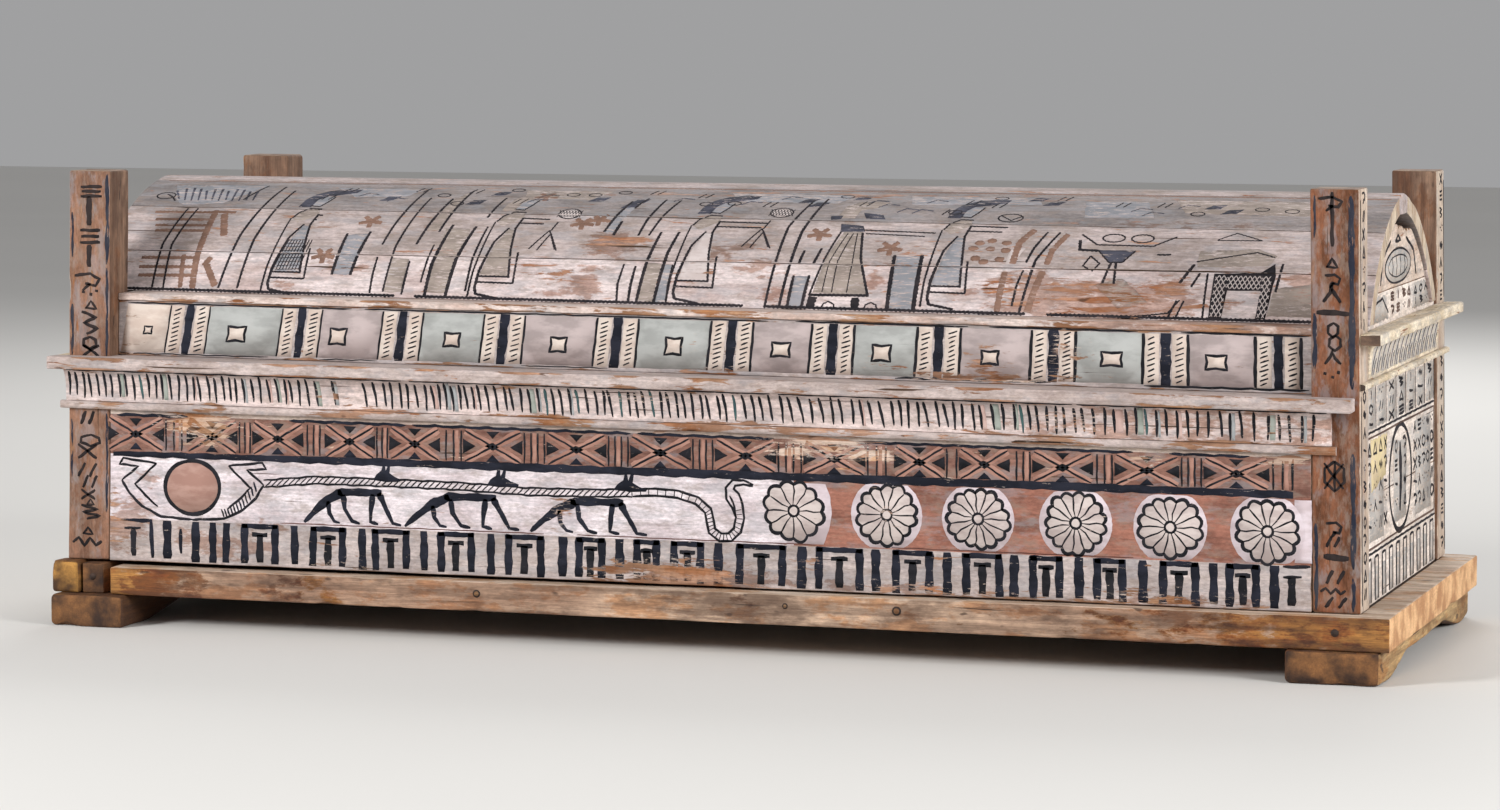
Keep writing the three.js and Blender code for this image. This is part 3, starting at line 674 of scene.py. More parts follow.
# Where the front of the vault is flaked or stained, along it and down its curve.
VAULT_FLAKES = (
    (-160, 200, 60, 24, 0.45), (560, 280, 180, 34, 0.5), (0, 262, 60, 30, 0.35), (-250, 262, 70, 30, 0.35),
    (230, 60, 900, 14, 0.35))
VAULT_STAINS = (
    (-160, 208, 60, 30, 0.75), (-182, 278, 30, 44, 0.75), (20, 215, 50, 30, 0.55), (70, 250, 60, 22, 0.5),
    (245, 262, 22, 30, 0.8), (560, 290, 200, 42, 0.8), (470, 262, 80, 30, 0.6), (860, 262, 50, 40, 0.7),
    (-240, 290, 70, 30, 0.5), (660, 262, 60, 28, 0.6), (110, 290, 60, 22, 0.45), (-400, 232, 60, 14, 0.45),
    (-640, 292, 60, 20, 0.4), (640, 140, 200, 14, 0.45), (300, 232, 120, 10, 0.4), (-560, 262, 60, 26, 0.4))


def upper_seam(x):
    """Arc length of the seam under the highest planks, which rises to the left."""
    return UPPER_SEAM[0] + (UPPER_SEAM[1] - UPPER_SEAM[0]) * (x / (2 * HALF) + 0.5)


def vault_foot(x, radius):
    """Arc length, on the arc of this radius, where the lowest plank is cut level with the rail."""
    height = RAIL[1] + 0.4 - CORNICE_FALL * x / (2 * HALF)
    return (np.arccos((height - VAULT_CENTRE) / radius) - APEX) * VAULT_RADIUS


def on_vault(x, arc, depth, face):
    """Raw place of a point at an arc length from the ridge line, and a depth under the outer surface."""
    angle = APEX + arc / VAULT_RADIUS
    radius = VAULT_RADIUS - depth
    return np.stack([x, face * (radius * np.sin(angle) - VAULT_OFFSET),
                     VAULT_CENTRE + radius * np.cos(angle)], axis=1)


vault_end = gesso("cream gesso on the vault's end", 2, "#d3c2ac", "#b59f88", BARE, 0.58)
# The planks' long edges in the seams: grimy wood, darkened further as painted shade between the planks.
vault_joint = bare_wood("grimy plank edge darkened as painted seam shade", 0, "#2c211b", "#43332a", "#5a4638")


def vault_plank(node, face, edges, material, seed, flakes=(), stains=()):
    """A plank worked flat as length, width and thickness, worn, and then laid on the arc."""
    low = np.array([-HALF, 0, 0])
    high = np.array([HALF, 100, VAULT_THICK])
    points, faces, sides = slab(low, high, (22, 9, 12), 1.3)
    points = worn(points, low, high, 1, seed, 2.5)
    x, depth = points[:, 0], VAULT_THICK - points[:, 2]
    first, last = edges(x, VAULT_RADIUS - depth)
    arc = first + (last - first) * points[:, 1] / 100
    laid = on_vault(x, arc, depth, face)
    piece = build(node + "_worn", settle(laid), faces if face < 0 else faces[:, ::-1],
                  [material, vault_end, vault_joint], np.select([sides < 2, sides < 4], [1, 2]),
                  wear=patches(x, arc, flakes), stain=patches(x, arc, stains))
    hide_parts(node)


for face, side_name, seed, marks in ((-1, "front", 91, (VAULT_FLAKES, VAULT_STAINS)),
                                     (1, "back", 95, ((), ()))):
    vault_plank("vault_" + side_name + "_upper", face,
                lambda x, radius: (RIDGE_HALF + 0.5, upper_seam(x)), vault_grey, seed, *marks)
    vault_plank("vault_" + side_name + "_middle", face,
                lambda x, radius: (upper_seam(x) + 0.8, LOWER_SEAM), vault_gesso, seed + 1, *marks)
    vault_plank("vault_" + side_name + "_lower", face,
                lambda x, radius: (LOWER_SEAM + 0.8, vault_foot(x, radius)), vault_pale, seed + 2, *marks)

ridge_low = np.array([-HALF, -100, 0])
ridge_high = np.array([HALF, 100, VAULT_THICK])
points, faces, _ = slab(ridge_low, ridge_high, (22, 12, 12), 2.2)
points = worn(points, ridge_low, ridge_high, 2, 99, 4)
edge = on_vault(np.zeros(2), np.full(2, RIDGE_HALF), np.array([0, VAULT_THICK]), 1)
crown = on_vault(np.zeros(1), np.zeros(1), np.zeros(1), 1)[0, 2]
lift = points[:, 2] / VAULT_THICK
across = points[:, 1] / 100
ridge = np.stack([points[:, 0], across * (edge[1, 1] + (edge[0, 1] - edge[1, 1]) * lift),
                  edge[1, 2] + (crown - (crown - edge[0, 2]) * across ** 2 - edge[1, 2]) * lift], axis=1)
ridge_board = build("vault_ridge_board_worn", settle(ridge), faces, [vault_gesso])
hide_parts("vault_ridge_board")

# ------------------------
# Ends. Each end is three boards with a gable board on them. The right end is cream and its
# gable board is broken along the top, which leaves a hole under the roof's point.
END_FACE = HALF - 5
END_THICK = 28
END_HALF = FACE - POST_DEPTH - 0.4
END_SEAMS = (0, 145, 297, 417)
GABLE_THICK = 22
GABLE_JOINT = 12
end_gesso = gesso("cream gesso of the end", 1, "#f3e6dc", "#dccdc1", BARE, 0.65)
gable_gesso = gesso("brown cream gesso of the gable", 1, "#dcc9ba", "#c2aa98", BARE, 0.6)


def arch_half(height, radius):
    """Half the width inside the vault at a height, for an arc of this radius."""
    return np.sqrt(np.maximum(radius ** 2 - (height - VAULT_CENTRE) ** 2, 0)) - VAULT_OFFSET


def end_board(node, end, depth, rise, material, seed, shape=None, also=()):
    """A worn board across an end, its width and height reshaped when a shape is given."""
    box = turned_box((depth[0], -END_HALF, rise[0]), (depth[1], END_HALF, rise[1]), (end, 1, 1))
    points, faces, sides = slab(*box, (10, 14, 10), 2, ((), (), also))
    points = worn(points, *box, 1.6, seed, 3)
    if shape:
        points = shape(points)
    piece = build(node + "_worn", settle(points), faces, [material, plank_side],
                  (sides != (0 if end < 0 else 1)).astype(int))
    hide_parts(node)


INSIDE = VAULT_RADIUS - VAULT_THICK - 1


def shoulders(end):
    """A reshaping that narrows the top board to the inside of the vault, above the rails."""
    step = RAIL[1] - CORNICE_FALL * end / 2 - 0.4

    def reshape(points):
        half = np.where(points[:, 2] > step, arch_half(points[:, 2], INSIDE), END_HALF)
        points[:, 1] *= half / END_HALF
        return points
    return reshape, (step, step + 0.3)


def gable(near_top, far_top, joint, ragged, seed):
    """A reshaping that draws the board to the vault's inside, with a sloping, ragged top edge."""
    foot = END_SEAMS[3] + 0.4

    def reshape(points):
        share = (points[:, 2] - foot) / 100
        across = points[:, 1] / END_HALF
        chips = ragged * ripple(np.stack([across * 60, 0 * across, 0 * across], axis=1), 14, seed)
        top = near_top + (far_top - near_top) * (across + 1) / 2 - np.abs(chips)
        height = foot + (top - foot) * share
        half = arch_half(height, INSIDE) - joint * share * (across > 0)
        points[:, 1] = across * half
        points[:, 2] = height
        return points
    return reshape


for end, end_name, seed in ((1, "right_end", 111), (-1, "left_end", 121)):
    narrow, step = shoulders(end)
    depth = (END_FACE - END_THICK, END_FACE)
    end_board(end_name + "_board_low", end, depth, (0, END_SEAMS[1]), end_gesso, seed)
    end_board(end_name + "_board_middle", end, depth, (END_SEAMS[1] + 0.4, END_SEAMS[2]), end_gesso,
              seed + 1)
    end_board(end_name + "_board_top", end, depth, (END_SEAMS[2] + 0.4, END_SEAMS[3]), end_gesso, seed + 2,
              narrow, step)
    tops = (510, 492, GABLE_JOINT, 5) if end > 0 else (512, 512, 0, 0.5)
    end_board(end_name + "_gable_board", end, (END_FACE - GABLE_THICK, END_FACE),
              (END_SEAMS[3] + 0.4, END_SEAMS[3] + 100.4), gable_gesso, seed + 3, gable(*tops, seed))

# ------------------------
# Mouldings of the ends. On the right they run across the posts, higher than those of the
# long sides; on the left they meet them. The right ledge's ends show dark grain.
end_ledge_gesso = gesso("pale gesso on the end ledge", 1, "#eddfc9", "#d0bd9f", BARE, 0.6)


def end_moulding(node, end, back, reach_out, half, rise, seed, follows, bend=None, rounding=1.6, cap=None):
    """One moulding of an end, worked as if on a long side and then turned to face the end."""
    low = np.array([-half, back, rise[0]])
    high = np.array([half, back + reach_out, rise[1]])
    points, faces, sides = slab(
        low, high, (10, 6, 4), rounding, ((-END_HALF, -END_HALF - 0.3, END_HALF, END_HALF + 0.3), (), ()))
    points = worn(points, low, high, rounding, seed, 4)
    if bend:
        points = bend(points)
    turned = np.stack([end * points[:, 1], points[:, 0], points[:, 2]], axis=1)
    paint = np.isin(sides, (0, 1)).astype(int) if cap else None
    piece = build(node + "_worn", settle(turned, follows), faces[:, ::-1] if end > 0 else faces,
                  [end_ledge_gesso, cap] if cap else [end_ledge_gesso], paint)
    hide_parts(node)


def end_notch(seat, planted, outer):
    """A reshaping that draws a moulding's back face forward where it passes over the posts."""
    def reshape(points):
        ahead = planted + (points[:, 1] - seat) / (outer - seat) * (outer - planted)
        points[:, 1] = np.where(np.abs(points[:, 0]) > END_HALF + 0.1, ahead, points[:, 1])
        return points
    return reshape


ledge_cap = end_grain("dark weathered end grain", "#3a2b22", "#6d5443")
SEAT = END_FACE + 0.4  # back plane of the end mouldings between the posts
OVER_POSTS = HALF + 0.4  # and where they pass over the posts
RIGHT_LEDGE_FRONT = HALF + 28
LEFT_LEDGE_FRONT = 968
RIGHT_HOLLOW = (307.4, 357.6)
RIGHT_BEAD = (298, 307)
END_FLARE = 9
end_moulding("right_end_ledge", 1, SEAT, RIGHT_LEDGE_FRONT - SEAT, FACE, (358, 373), 131, False,
             end_notch(SEAT, OVER_POSTS, RIGHT_LEDGE_FRONT), 2.4, ledge_cap)
end_moulding("right_end_cavetto", 1, SEAT, HOLLOW_FOOT + END_FLARE, END_HALF, RIGHT_HOLLOW, 132, False,
             lambda points: hollow(points, SEAT, RIGHT_HOLLOW, HOLLOW_FOOT, END_FLARE), 1.2)
end_moulding("right_end_torus", 1, OVER_POSTS, 9, FACE, RIGHT_BEAD, 133, False,
             lambda points: bead(points, OVER_POSTS, RIGHT_BEAD, 9), 0.8, ledge_cap)
end_moulding("left_end_ledge", -1, SEAT, LEFT_LEDGE_FRONT - SEAT, FACE - 0.4, LEDGE, 134, True,
             end_notch(SEAT, OVER_POSTS, LEFT_LEDGE_FRONT), 2.4)
end_moulding("left_end_cavetto", -1, SEAT, HOLLOW_FOOT + END_FLARE, END_HALF, HOLLOW, 135, True,
             lambda points: hollow(points, SEAT, HOLLOW, HOLLOW_FOOT, END_FLARE), 1.2)
end_moulding("left_end_torus", -1, SEAT, BEAD_DEPTH, END_HALF, BEAD, 136, True,
             lambda points: bead(points, SEAT, BEAD, BEAD_DEPTH), 0.8)

# ------------------------
# Panelled foot. Blue black brushwork on grey gesso imitates a niched wall: an upside-down
# U round a T, then a plain bar, again and again. The paint is a hair thick and rubbed.


def paint(name, along, colour, shade, under, wear=0.65, rub=0.62, roughness=0.84):
    """Paint on gesso: two near tints, rubbed through in fine streaks to the gesso, and gone with it."""
    def recipe(tree):
        ground, height, gone = add_gesso(tree, along, *under, BARE, wear)
        coat, _ = overlay(tree, linear(colour), add_grain(tree, along, 48, 20, 4, 0.6), 0.4, 0.62, shade)
        rubbed = raised(tree, add_grain(tree, along, 21, 3, 6, 0.72), "wear", 0.2)
        coat, _ = overlay(tree, coat, rubbed, rub, rub + 0.05, ground)
        return add(tree, "ShaderNodeMix", {0: gone, 6: coat, 7: ground}, data_type="RGBA").outputs[2], height
    return finished(name, recipe, (0.45, 0.0008), roughness, 0.15)


def paints(along, under, *rows):
    """Paints on one ground. A row gives the name, the two tints, and the levels of wear and rubbing."""
    return [paint(name, along, colour, shade, under, wear, rub) for name, colour, shade, wear, rub in rows]


def spaced(path, step, closed):
    """Points along a path, or round a closed one and back to its start, no more than a step apart, and
    the number of steps. A path is a list of along, up, along, up and so on."""
    path = np.reshape(path, (-1, 2)).astype(float)
    path = np.vstack([path, path[:1]]) if closed else path
    legs = np.diff(path, axis=0)
    counts = np.maximum(1, np.ceil(np.hypot(legs[:, 0], legs[:, 1]) / step).astype(int))
    line = np.vstack([path[i] + legs[i] * (np.arange(counts[i]) / counts[i])[:, None]
                      for i in range(len(legs))] + [path[-1:]])
    return line, counts.sum()


class Sheet:
    """Paint on one surface: strokes and filled shapes, kept as points along it, up it, and proud of it."""

    def __init__(self, seed):
        self.points, self.faces, self.pigments, self.count = [], [], [], 0
        self.rng = np.random.default_rng(seed)

    def keep(self, points, faces, pigment):
        """Adds a closed shape, its faces as lists of its own point numbers."""
        self.points.append(points)
        self.faces += [[corner + self.count for corner in face] for face in faces]
        self.pigments += [pigment] * len(faces)
        self.count += len(points)

    def stroke(self, path, width, pigment=0, proud=0.32, taper=0.6, wobble=0.5, step=7, closed=False):
        """A brush stroke: a flat ribbon along a path. Its line wanders by the wobble, its width, which
        may change along it, varies by an eighth, and its ends narrow to the taper."""
        line, steps = spaced(path, step, closed)
        line = line[:-1] if closed else line
        run = np.linspace(0, 1, len(line))
        widths = np.interp(run, np.linspace(0, 1, np.size(width)), np.atleast_1d(width))
        phase = self.rng.uniform(0, 2 * np.pi, 4)
        reach_along = run * max(1, steps * step / 40) * 2 * np.pi
        if closed:
            reach_along = run * 2 * np.pi * 3
        sway = wobble * (np.sin(reach_along + phase[0]) + 0.6 * np.sin(2 * reach_along + phase[1])) * 0.6
        widths = widths * (1 + 0.12 * np.sin(reach_along + phase[2])
                           + 0.06 * np.sin(3 * reach_along + phase[3]))
        if closed:
            along = np.roll(line, -1, axis=0) - np.roll(line, 1, axis=0)
        else:
            along = np.gradient(line, axis=0)
            ends = np.minimum(run, 1 - run) * steps * step
            widths = widths * np.clip(taper + (1 - taper) * ends / 5, 0, 1)
        normal = np.stack([-along[:, 1], along[:, 0]], axis=1) / np.linalg.norm(along, axis=1)[:, None]
        line = line + normal * sway[:, None]
        offsets = ((-0.5, -0.3), (-0.42, proud), (0.42, proud), (0.5, -0.3))
        rows = [np.column_stack([line - normal * (widths * share)[:, None], np.full(len(line), lift)])
                for share, lift in offsets]
        points = np.stack(rows, axis=1).reshape(-1, 3)
        total = len(line)
        faces = []
        for i in range(total if closed else total - 1):
            a, b = 4 * i, 4 * ((i + 1) % total)
            faces += [[a + j, b + j, b + (j + 1) % 4, a + (j + 1) % 4] for j in range(4)]
        if not closed:
            last = 4 * (total - 1)
            faces += [[0, 1, 2, 3], [last + 3, last + 2, last + 1, last]]
        self.keep(points, faces, pigment)

    def fill(self, outline, pigment=0, proud=0.14, wobble=0.4, step=8, grid=0):
        """A flat painted shape inside an outline, its edge a little unsteady. A grid size adds inner
        points, for surfaces that curve."""
        edge = spaced(outline, step, True)[0][:-1]
        edge = edge + self.rng.uniform(-wobble, wobble, edge.shape)
        inner = np.zeros((0, 2))
        if grid:
            spans = [np.arange(edge[:, k].min(), edge[:, k].max(), grid) + grid / 2 for k in (0, 1)]
            inner = np.stack(np.meshgrid(*spans), axis=-1).reshape(-1, 2)
        flat = [Vector(place) for place in np.vstack([edge, inner]).tolist()]
        corners, _, triangles, _, _, _ = delaunay_2d_cdt(flat, [], [list(range(len(edge)))], 1, 1e-5)
        corners = np.array([tuple(corner) for corner in corners])
        triangles = np.array(triangles)
        a, b, c = (corners[triangles[:, k]] for k in range(3))
        turn = (b[:, 0] - a[:, 0]) * (c[:, 1] - a[:, 1]) - (b[:, 1] - a[:, 1]) * (c[:, 0] - a[:, 0])
        triangles = np.where((turn > 0)[:, None], triangles, triangles[:, ::-1])
        used, triangles = np.unique(triangles, return_inverse=True)
        triangles = triangles.reshape(-1, 3)
        corners = corners[used]
        total = len(corners)
        sides = np.vstack([triangles[:, [0, 1]], triangles[:, [1, 2]], triangles[:, [2, 0]]])
        keys = sides[:, 0] * total + sides[:, 1]
        rim = sides[~np.isin(keys, sides[:, 1] * total + sides[:, 0])]
        points = np.vstack([np.column_stack([corners, np.full(total, proud)]),
                            np.column_stack([corners, np.full(total, -0.3)])])
        faces = triangles.tolist() + (triangles[:, ::-1] + total).tolist()
        faces += np.column_stack([rim[:, 1], rim[:, 0], rim[:, 0] + total, rim[:, 1] + total]).tolist()
        self.keep(points, faces, pigment)

    def lay(self, name, place, materials, flip=False, slot="painted_panel", flakes=(), stains=(),
            follows=True):
        """Puts everything on its surface as one piece. Place turns (along, up, proud) into the true box."""
        flat = np.vstack(self.points)
        faces = [face[::-1] for face in self.faces] if flip else self.faces
        build(name, settle(place(flat[:, 0], flat[:, 1], flat[:, 2]), follows), faces, materials,
              self.pigments, True, patches(flat[:, 0], flat[:, 1], flakes),
              patches(flat[:, 0], flat[:, 1], stains))


def circle(u, v, radius, count=28, squash=1):
    """Points round a circle or, squashed, an upright or flat oval."""
    turn = np.linspace(0, 2 * np.pi, count, endpoint=False)
    return np.stack([u + radius * np.cos(turn), v + radius * squash * np.sin(turn)], axis=1)


def on_front(u, v, proud):
    """A place on the front wall's face."""
    return np.stack([u, -(WALL_FACE + proud), v], axis=1)


CREAM = ("#cdbbae", "#b5a197")
FRONT_PIGMENTS = paints(
    0, CREAM,
    ("carbon black brushwork", "#191a1e", "#27262b", 0.68, 0.645),
    ("blue black brushwork", "#191b24", "#262833", 0.67, 0.64),
    ("pink earth", "#aa8274", "#976f61", 0.66, 0.66),
    ("white gypsum paint", "#d8cbd0", "#c5b5b8", 0.68, 0.7),
    ("light red earth", "#b59286", "#a27d71", 0.7, 0.72),
    ("brown umber line", "#5a3a34", "#6b4a42", 0.68, 0.66),
    ("grey cream petals", "#cdc0bb", "#b5a6a2", 0.68, 0.66))
BLACK, BLUE, PINK, WHITE, TAN, UMBER, PETAL = range(7)

front = Sheet(201)
FOOT_CAPS = (
    (-674, -618), (-566, -513), (-471, -415), (-370, -316), (-267, -211), (-161, -119), (-75, -38),
    (-20, 27), (77, 147), (192, 258), (302, 358), (402, 456), (496, 541), (586, 628), (677, 729),
    (768, 812))
FOOT_BARS = (-792, -747, -720, -698, -592, -487, -392, -290, -181, -97, 49, 171, 277, 379, 474, 564, 653,
             750, 833)
BAR_WIDTH = 13.5


def niche(left, right, top):
    """An upside-down U of thick bars with a T inside it."""
    front.stroke([left, top - 3, right, top - 3], 8, BLUE, taper=0.95)
    for edge in (left + 4, right - 4):
        lean = front.rng.uniform(-1.5, 1.5)
        front.stroke([edge, top, edge + lean, front.rng.uniform(2, 6)], BAR_WIDTH * 0.93, BLUE, taper=0.9)
    middle = (left + right) / 2
    reach_out = min(12, (right - left) * 0.24)
    head = top - 15
    front.stroke([middle - reach_out, head, middle + reach_out, head], 7, taper=0.9)
    front.stroke([middle, head, middle + front.rng.uniform(-1, 1), 6], 12, taper=0.9)


for left, right in FOOT_CAPS:
    niche(left, right, 61)
for bar in FOOT_BARS:
    front.stroke([bar, 61, bar + front.rng.uniform(-1.5, 1.5), front.rng.uniform(2, 6)],
                 BAR_WIDTH * front.rng.uniform(0.85, 1.1), BLUE, taper=0.9)
front.stroke([-846, 48, -845, 8], 10)
front.stroke([-860, 48, -834, 49], 4.5)
front.stroke([-866, 60, -818, 60, -815, 6], (4, 7, 7), BLUE)
front.stroke([-771, 50, -770, 14], 6, BLUE)
front.stroke([857, 46, 856, 8], 12, taper=0.9)
front.stroke([845, 60, 882, 61], 5)
front.stroke([845, 46, 870, 47], 4.5)
for start, end in ((-614, -210), (-160, 190), (300, 640)):
    front.stroke([start, 64.5, end, 64], 1.6, UMBER, step=16)

# ------------------------
# Picture band. On pale gesso a sun disc sits in a boat-shaped sign, and a rope runs over
# three striding jackals to a rearing snake. On red earth follow six white rosettes.
DISC = (-752, 111)
DISC_RADIUS = 43
front.fill(circle(*DISC, DISC_RADIUS, 36, 0.9), TAN, 0.16)
front.stroke(circle(*DISC, DISC_RADIUS, 36, 0.9), 6.5, closed=True)
HORN = np.array([(57, 33), (110, 39), (116, 30), (86, 28), (112, 7)])
KEEL = np.array([(112, 7), (100, -12), (80, -30), (50, -44), (0, -47)])
INNER = np.array([(57, 33), (91, 2), (75, -14), (55, -30)])
for way in (-1, 1):
    for part, width in ((HORN, 4), (KEEL, 4.4), (INNER, 3.8)):
        front.stroke(part * (way, 1) + DISC, width)
for i in range(12):
    spread = 50 + 4.6 * i
    front.stroke([DISC[0] + spread, DISC[1] - 41 + 0.028 * (spread - 50) ** 2 * 0.5 + 0.2 * i,
                  DISC[0] + spread - 4, DISC[1] - 30 + 0.03 * (spread - 50) ** 2 * 0.5 + 0.25 * i], 3.2,
                 BLUE if i % 4 else BLACK)

ROPE = np.array([(-640, 120), (-560, 128), (-453, 128), (-340, 127), (-237, 123),
                 (-140, 124), (-78, 126.5)])
for shift in (-5.2, 5.2):
    front.stroke(ROPE + (0, shift), 3.2, wobble=0.8)
for along in np.arange(-632, -80, 9):
    level = np.interp(along, ROPE[:, 0], ROPE[:, 1])
    front.stroke([along - 5, level - 4.6, along + 5, level + 4.6], 2.2, step=12)
SNAKE = np.array([(-78, 126.5), (-44, 129), (-10, 127), (18, 119), (34, 106), (37, 92),
                  (40, 78), (52, 69), (66, 70), (77, 80), (81, 98), (77, 114),
                  (70, 127), (66, 138), (72, 146), (86, 147), (100, 143)])
snake_run = np.gradient(SNAKE, axis=0)
snake_side = np.stack([-snake_run[:, 1], snake_run[:, 0]], axis=1) / np.hypot(*snake_run.T)[:, None]
snake_half = np.interp(np.arange(17), (0, 10, 12, 13, 16), (4.8, 6, 10, 6, 1.2))[:, None]
for way in (-1, 1):
    front.stroke(SNAKE + snake_side * snake_half * way, 3.8, wobble=0.3)
front.stroke([66, 128, 73, 112, 75, 98], 3)
for i in range(30):
    share = i / 30 * 11
    centre = [np.interp(share, np.arange(17), SNAKE[:, k]) for k in (0, 1)]
    side = [np.interp(share, np.arange(17), snake_side[:, k]) for k in (0, 1)]
    front.stroke([centre[0] - 4 * side[0], centre[1] - 4 * side[1], centre[0] + 4 * side[0],
                  centre[1] + 4 * side[1]], 2.2, step=12)


def jackal(left, scale, back):
    """A striding jackal of strokes: one long slanting tail and haunch, a level back, thin bent legs,
    and, above the rope, a low head with two tall ears."""
    def at(*path):
        u, v = np.reshape(path, (-1, 2)).T
        return np.stack([left + scale * u, 66 + (back - 66) * v / 50], axis=1)
    for widths, *path in (
            ((6, 11, 15, 15), 2, 1, 22, 18, 44, 34, 70, 45), ((14, 11.5, 13), 62, 45, 100, 46, 141, 46),
            ((12.5, 8, 6, 5.5), 136, 46, 149, 24, 161, 4, 176, 2),
            ((12, 8, 6, 5), 125, 44, 122, 22, 121, 5, 135, 2),
            ((11, 7, 6, 5), 72, 42, 75, 22, 88, 5, 102, 2),
            ((11, 6.5, 5.5, 4.5), 45, 32, 47, 15, 56, 4, 66, 2)):
        front.stroke(at(*path), widths, BLUE, wobble=0.3)
    front.fill(at(127, 64, 132, 72, 141, 78, 143, 86, 147, 86, 148, 77, 152, 86, 156, 86, 155, 75, 164, 70,
                  176, 66, 174, 63, 150, 62), BLUE, 0.34)


jackal(-578, 0.86, 117)
jackal(-423, 1, 116)
jackal(-232, 1, 116)

ROSETTES = (159, 293, 423, 560, 691, 824)
BAND_FOOT, BAND_HEAD = 65, 150


def rosette(middle, level, petals, pale):
    """A daisy seen from above: a pale ground, a scalloped black rim, lines between petals, and an eye."""
    if pale:
        ground = circle(middle, level, 51, 40)
        ground[:, 1] = np.clip(ground[:, 1], BAND_FOOT - 1, BAND_HEAD + 1)
        front.fill(ground, WHITE, 0.13)
    turn = np.linspace(0, 2 * np.pi, petals * 6, endpoint=False)
    bulge = np.abs(np.sin(turn * petals / 2))
    drift = 1.4 * np.sin(2 * turn + 0.02 * middle) + 1.2 * np.sin(5 * turn + 0.05 * middle)
    radius = 39 + 5 * bulge + drift
    squash = 0.96
    rim = np.stack([middle + radius * np.cos(turn), level + squash * radius * np.sin(turn)], axis=1)
    front.fill(rim, PETAL, 0.2)
    front.stroke(rim, 5.4, closed=True, wobble=1.1)
    for k in range(petals):
        angle = 2 * np.pi * k / petals
        heading = np.array([math.cos(angle), squash * math.sin(angle)])
        front.stroke([heading * 9 + (middle, level), heading * 39 + (middle, level)], (2, 3.2), wobble=1.3,
                     step=10)
    front.stroke(circle(middle, level, 7.5, 14), 4, closed=True, wobble=0.2)


for i, middle in enumerate(ROSETTES):
    rosette(middle, 110 - 0.7 * i, (12, 14, 15, 15, 14, 14)[i], i > 0)
front.fill([150, 149, 205, 149, 212, 130, 214, 108, 210, 85, 202, 65, 150, 65], WHITE, 0.12)
front.fill([861, 150, 884, 150, 884, 66, 861, 66], WHITE, 0.12)

# ------------------------
# Frieze. Under the cornice a red band holds crossed pink bars with small black wedges,
# parted by upright lines, between a black line above and a black stripe below.
CROSSES = (-842, -721, -618, -506, -406, -287, -161, -36, 89, 218, 340, 432, 542, 659, 782)
FRIEZE_LOW, FRIEZE_HIGH = 163, 205
FRIEZE_MIDDLE = (FRIEZE_LOW + FRIEZE_HIGH) / 2
gaps = np.diff(CROSSES)
for i, cross in enumerate(CROSSES):
    room = min(gaps[max(i - 1, 0)], gaps[min(i, len(gaps) - 1)])
    arm = min(42, room * 0.36)
    ends = [(-arm, FRIEZE_LOW), (arm, FRIEZE_HIGH), (-arm, FRIEZE_HIGH), (arm, FRIEZE_LOW)]
    ends = [(cross + u, v) for u, v in ends]
    for a, b in ((0, 1), (2, 3)):
        front.stroke([ends[a], ends[b]], 12, PINK, 0.2, 0.9)
    for a, b in ((0, 1), (2, 3)):
        front.stroke([ends[a], ends[b]], 3.3, BLACK, 0.34)
    if i % 3 != 1:
        front.stroke(circle(cross, FRIEZE_MIDDLE, 4.2, 10), 2, BLACK, 0.4, closed=True, wobble=0.1, step=4)
    for way in (-1, 1):
        base = cross + way * (arm + 3)
        front.fill([base, FRIEZE_MIDDLE - 10, base - way * 19, FRIEZE_MIDDLE, base, FRIEZE_MIDDLE + 10],
                   BLACK, 0.3)
    front.fill([cross - 10, FRIEZE_LOW, cross + 10, FRIEZE_LOW, cross, FRIEZE_LOW + 10], BLUE, 0.3)
    front.fill([cross - 10, FRIEZE_HIGH, cross + 10, FRIEZE_HIGH, cross, FRIEZE_HIGH - 10], BLACK, 0.3)
starts = [CROSSES[i] + min(42, gaps[i] * 0.36) + 6 for i in range(len(gaps))] + [832]
stops = [CROSSES[i + 1] - min(42, gaps[i] * 0.36) - 6 for i in range(len(gaps))] + [858]
for start, stop in zip(starts, stops):
    count = max(2, int(round((stop - start) / 10.5)) + 1)
    for k, along in enumerate(np.linspace(start, stop, count)):
        if k % 2 and along < stop - 4:
            front.stroke([along + 5, FRIEZE_LOW, along + 5, FRIEZE_HIGH], 6, PINK, 0.18, 0.95)
        front.stroke([along, FRIEZE_LOW, along, FRIEZE_HIGH], 3, BLACK, 0.34)
for start, stop in (
        (-872, -760), (-600, -420), (-410, -80), (-70, 130), (250, 640), (690, 800)):
    front.stroke([start, 209.5, stop, 209.5], 4.5, BLUE, 0.3, 0.3, wobble=1)
front.stroke([-878, 156, -500, 157, 0, 157, 500, 157.5, 859, 157], (8, 12, 12.5, 12.5, 11), BLUE, 0.36, 0.8,
             wobble=0.9, step=14)
front.stroke([858, 163, 859, 208], 3)
front.lay("front_wall_paint", on_front, FRONT_PIGMENTS, flakes=FRONT_FLAKES, stains=FRONT_STAINS)

# ------------------------
# Cavetto brushwork. Short upright black strokes follow the hollow under the ledge, like
# leaf tips, with washes of pale blue, green and pink between some of them.
HOLLOW_PIGMENTS = FRONT_PIGMENTS[:1] + paints(
    0, CREAM,
    ("pale blue wash", "#abadae", "#999b9c", 0.66, 0.64),
    ("pale green wash", "#a6aba3", "#939990", 0.66, 0.64),
    ("pale pink wash", "#cdb0a8", "#bf9f96", 0.66, 0.66),
    ("dull green blue line", "#45605f", "#3a5055", 0.67, 0.64))
HOLLOW_FLAKES = (
    (-522, 250, 50, 24, 0.6), (-80, 262, 90, 12, 0.6), (560, 250, 60, 20, 0.6), (860, 250, 50, 24, 0.5))


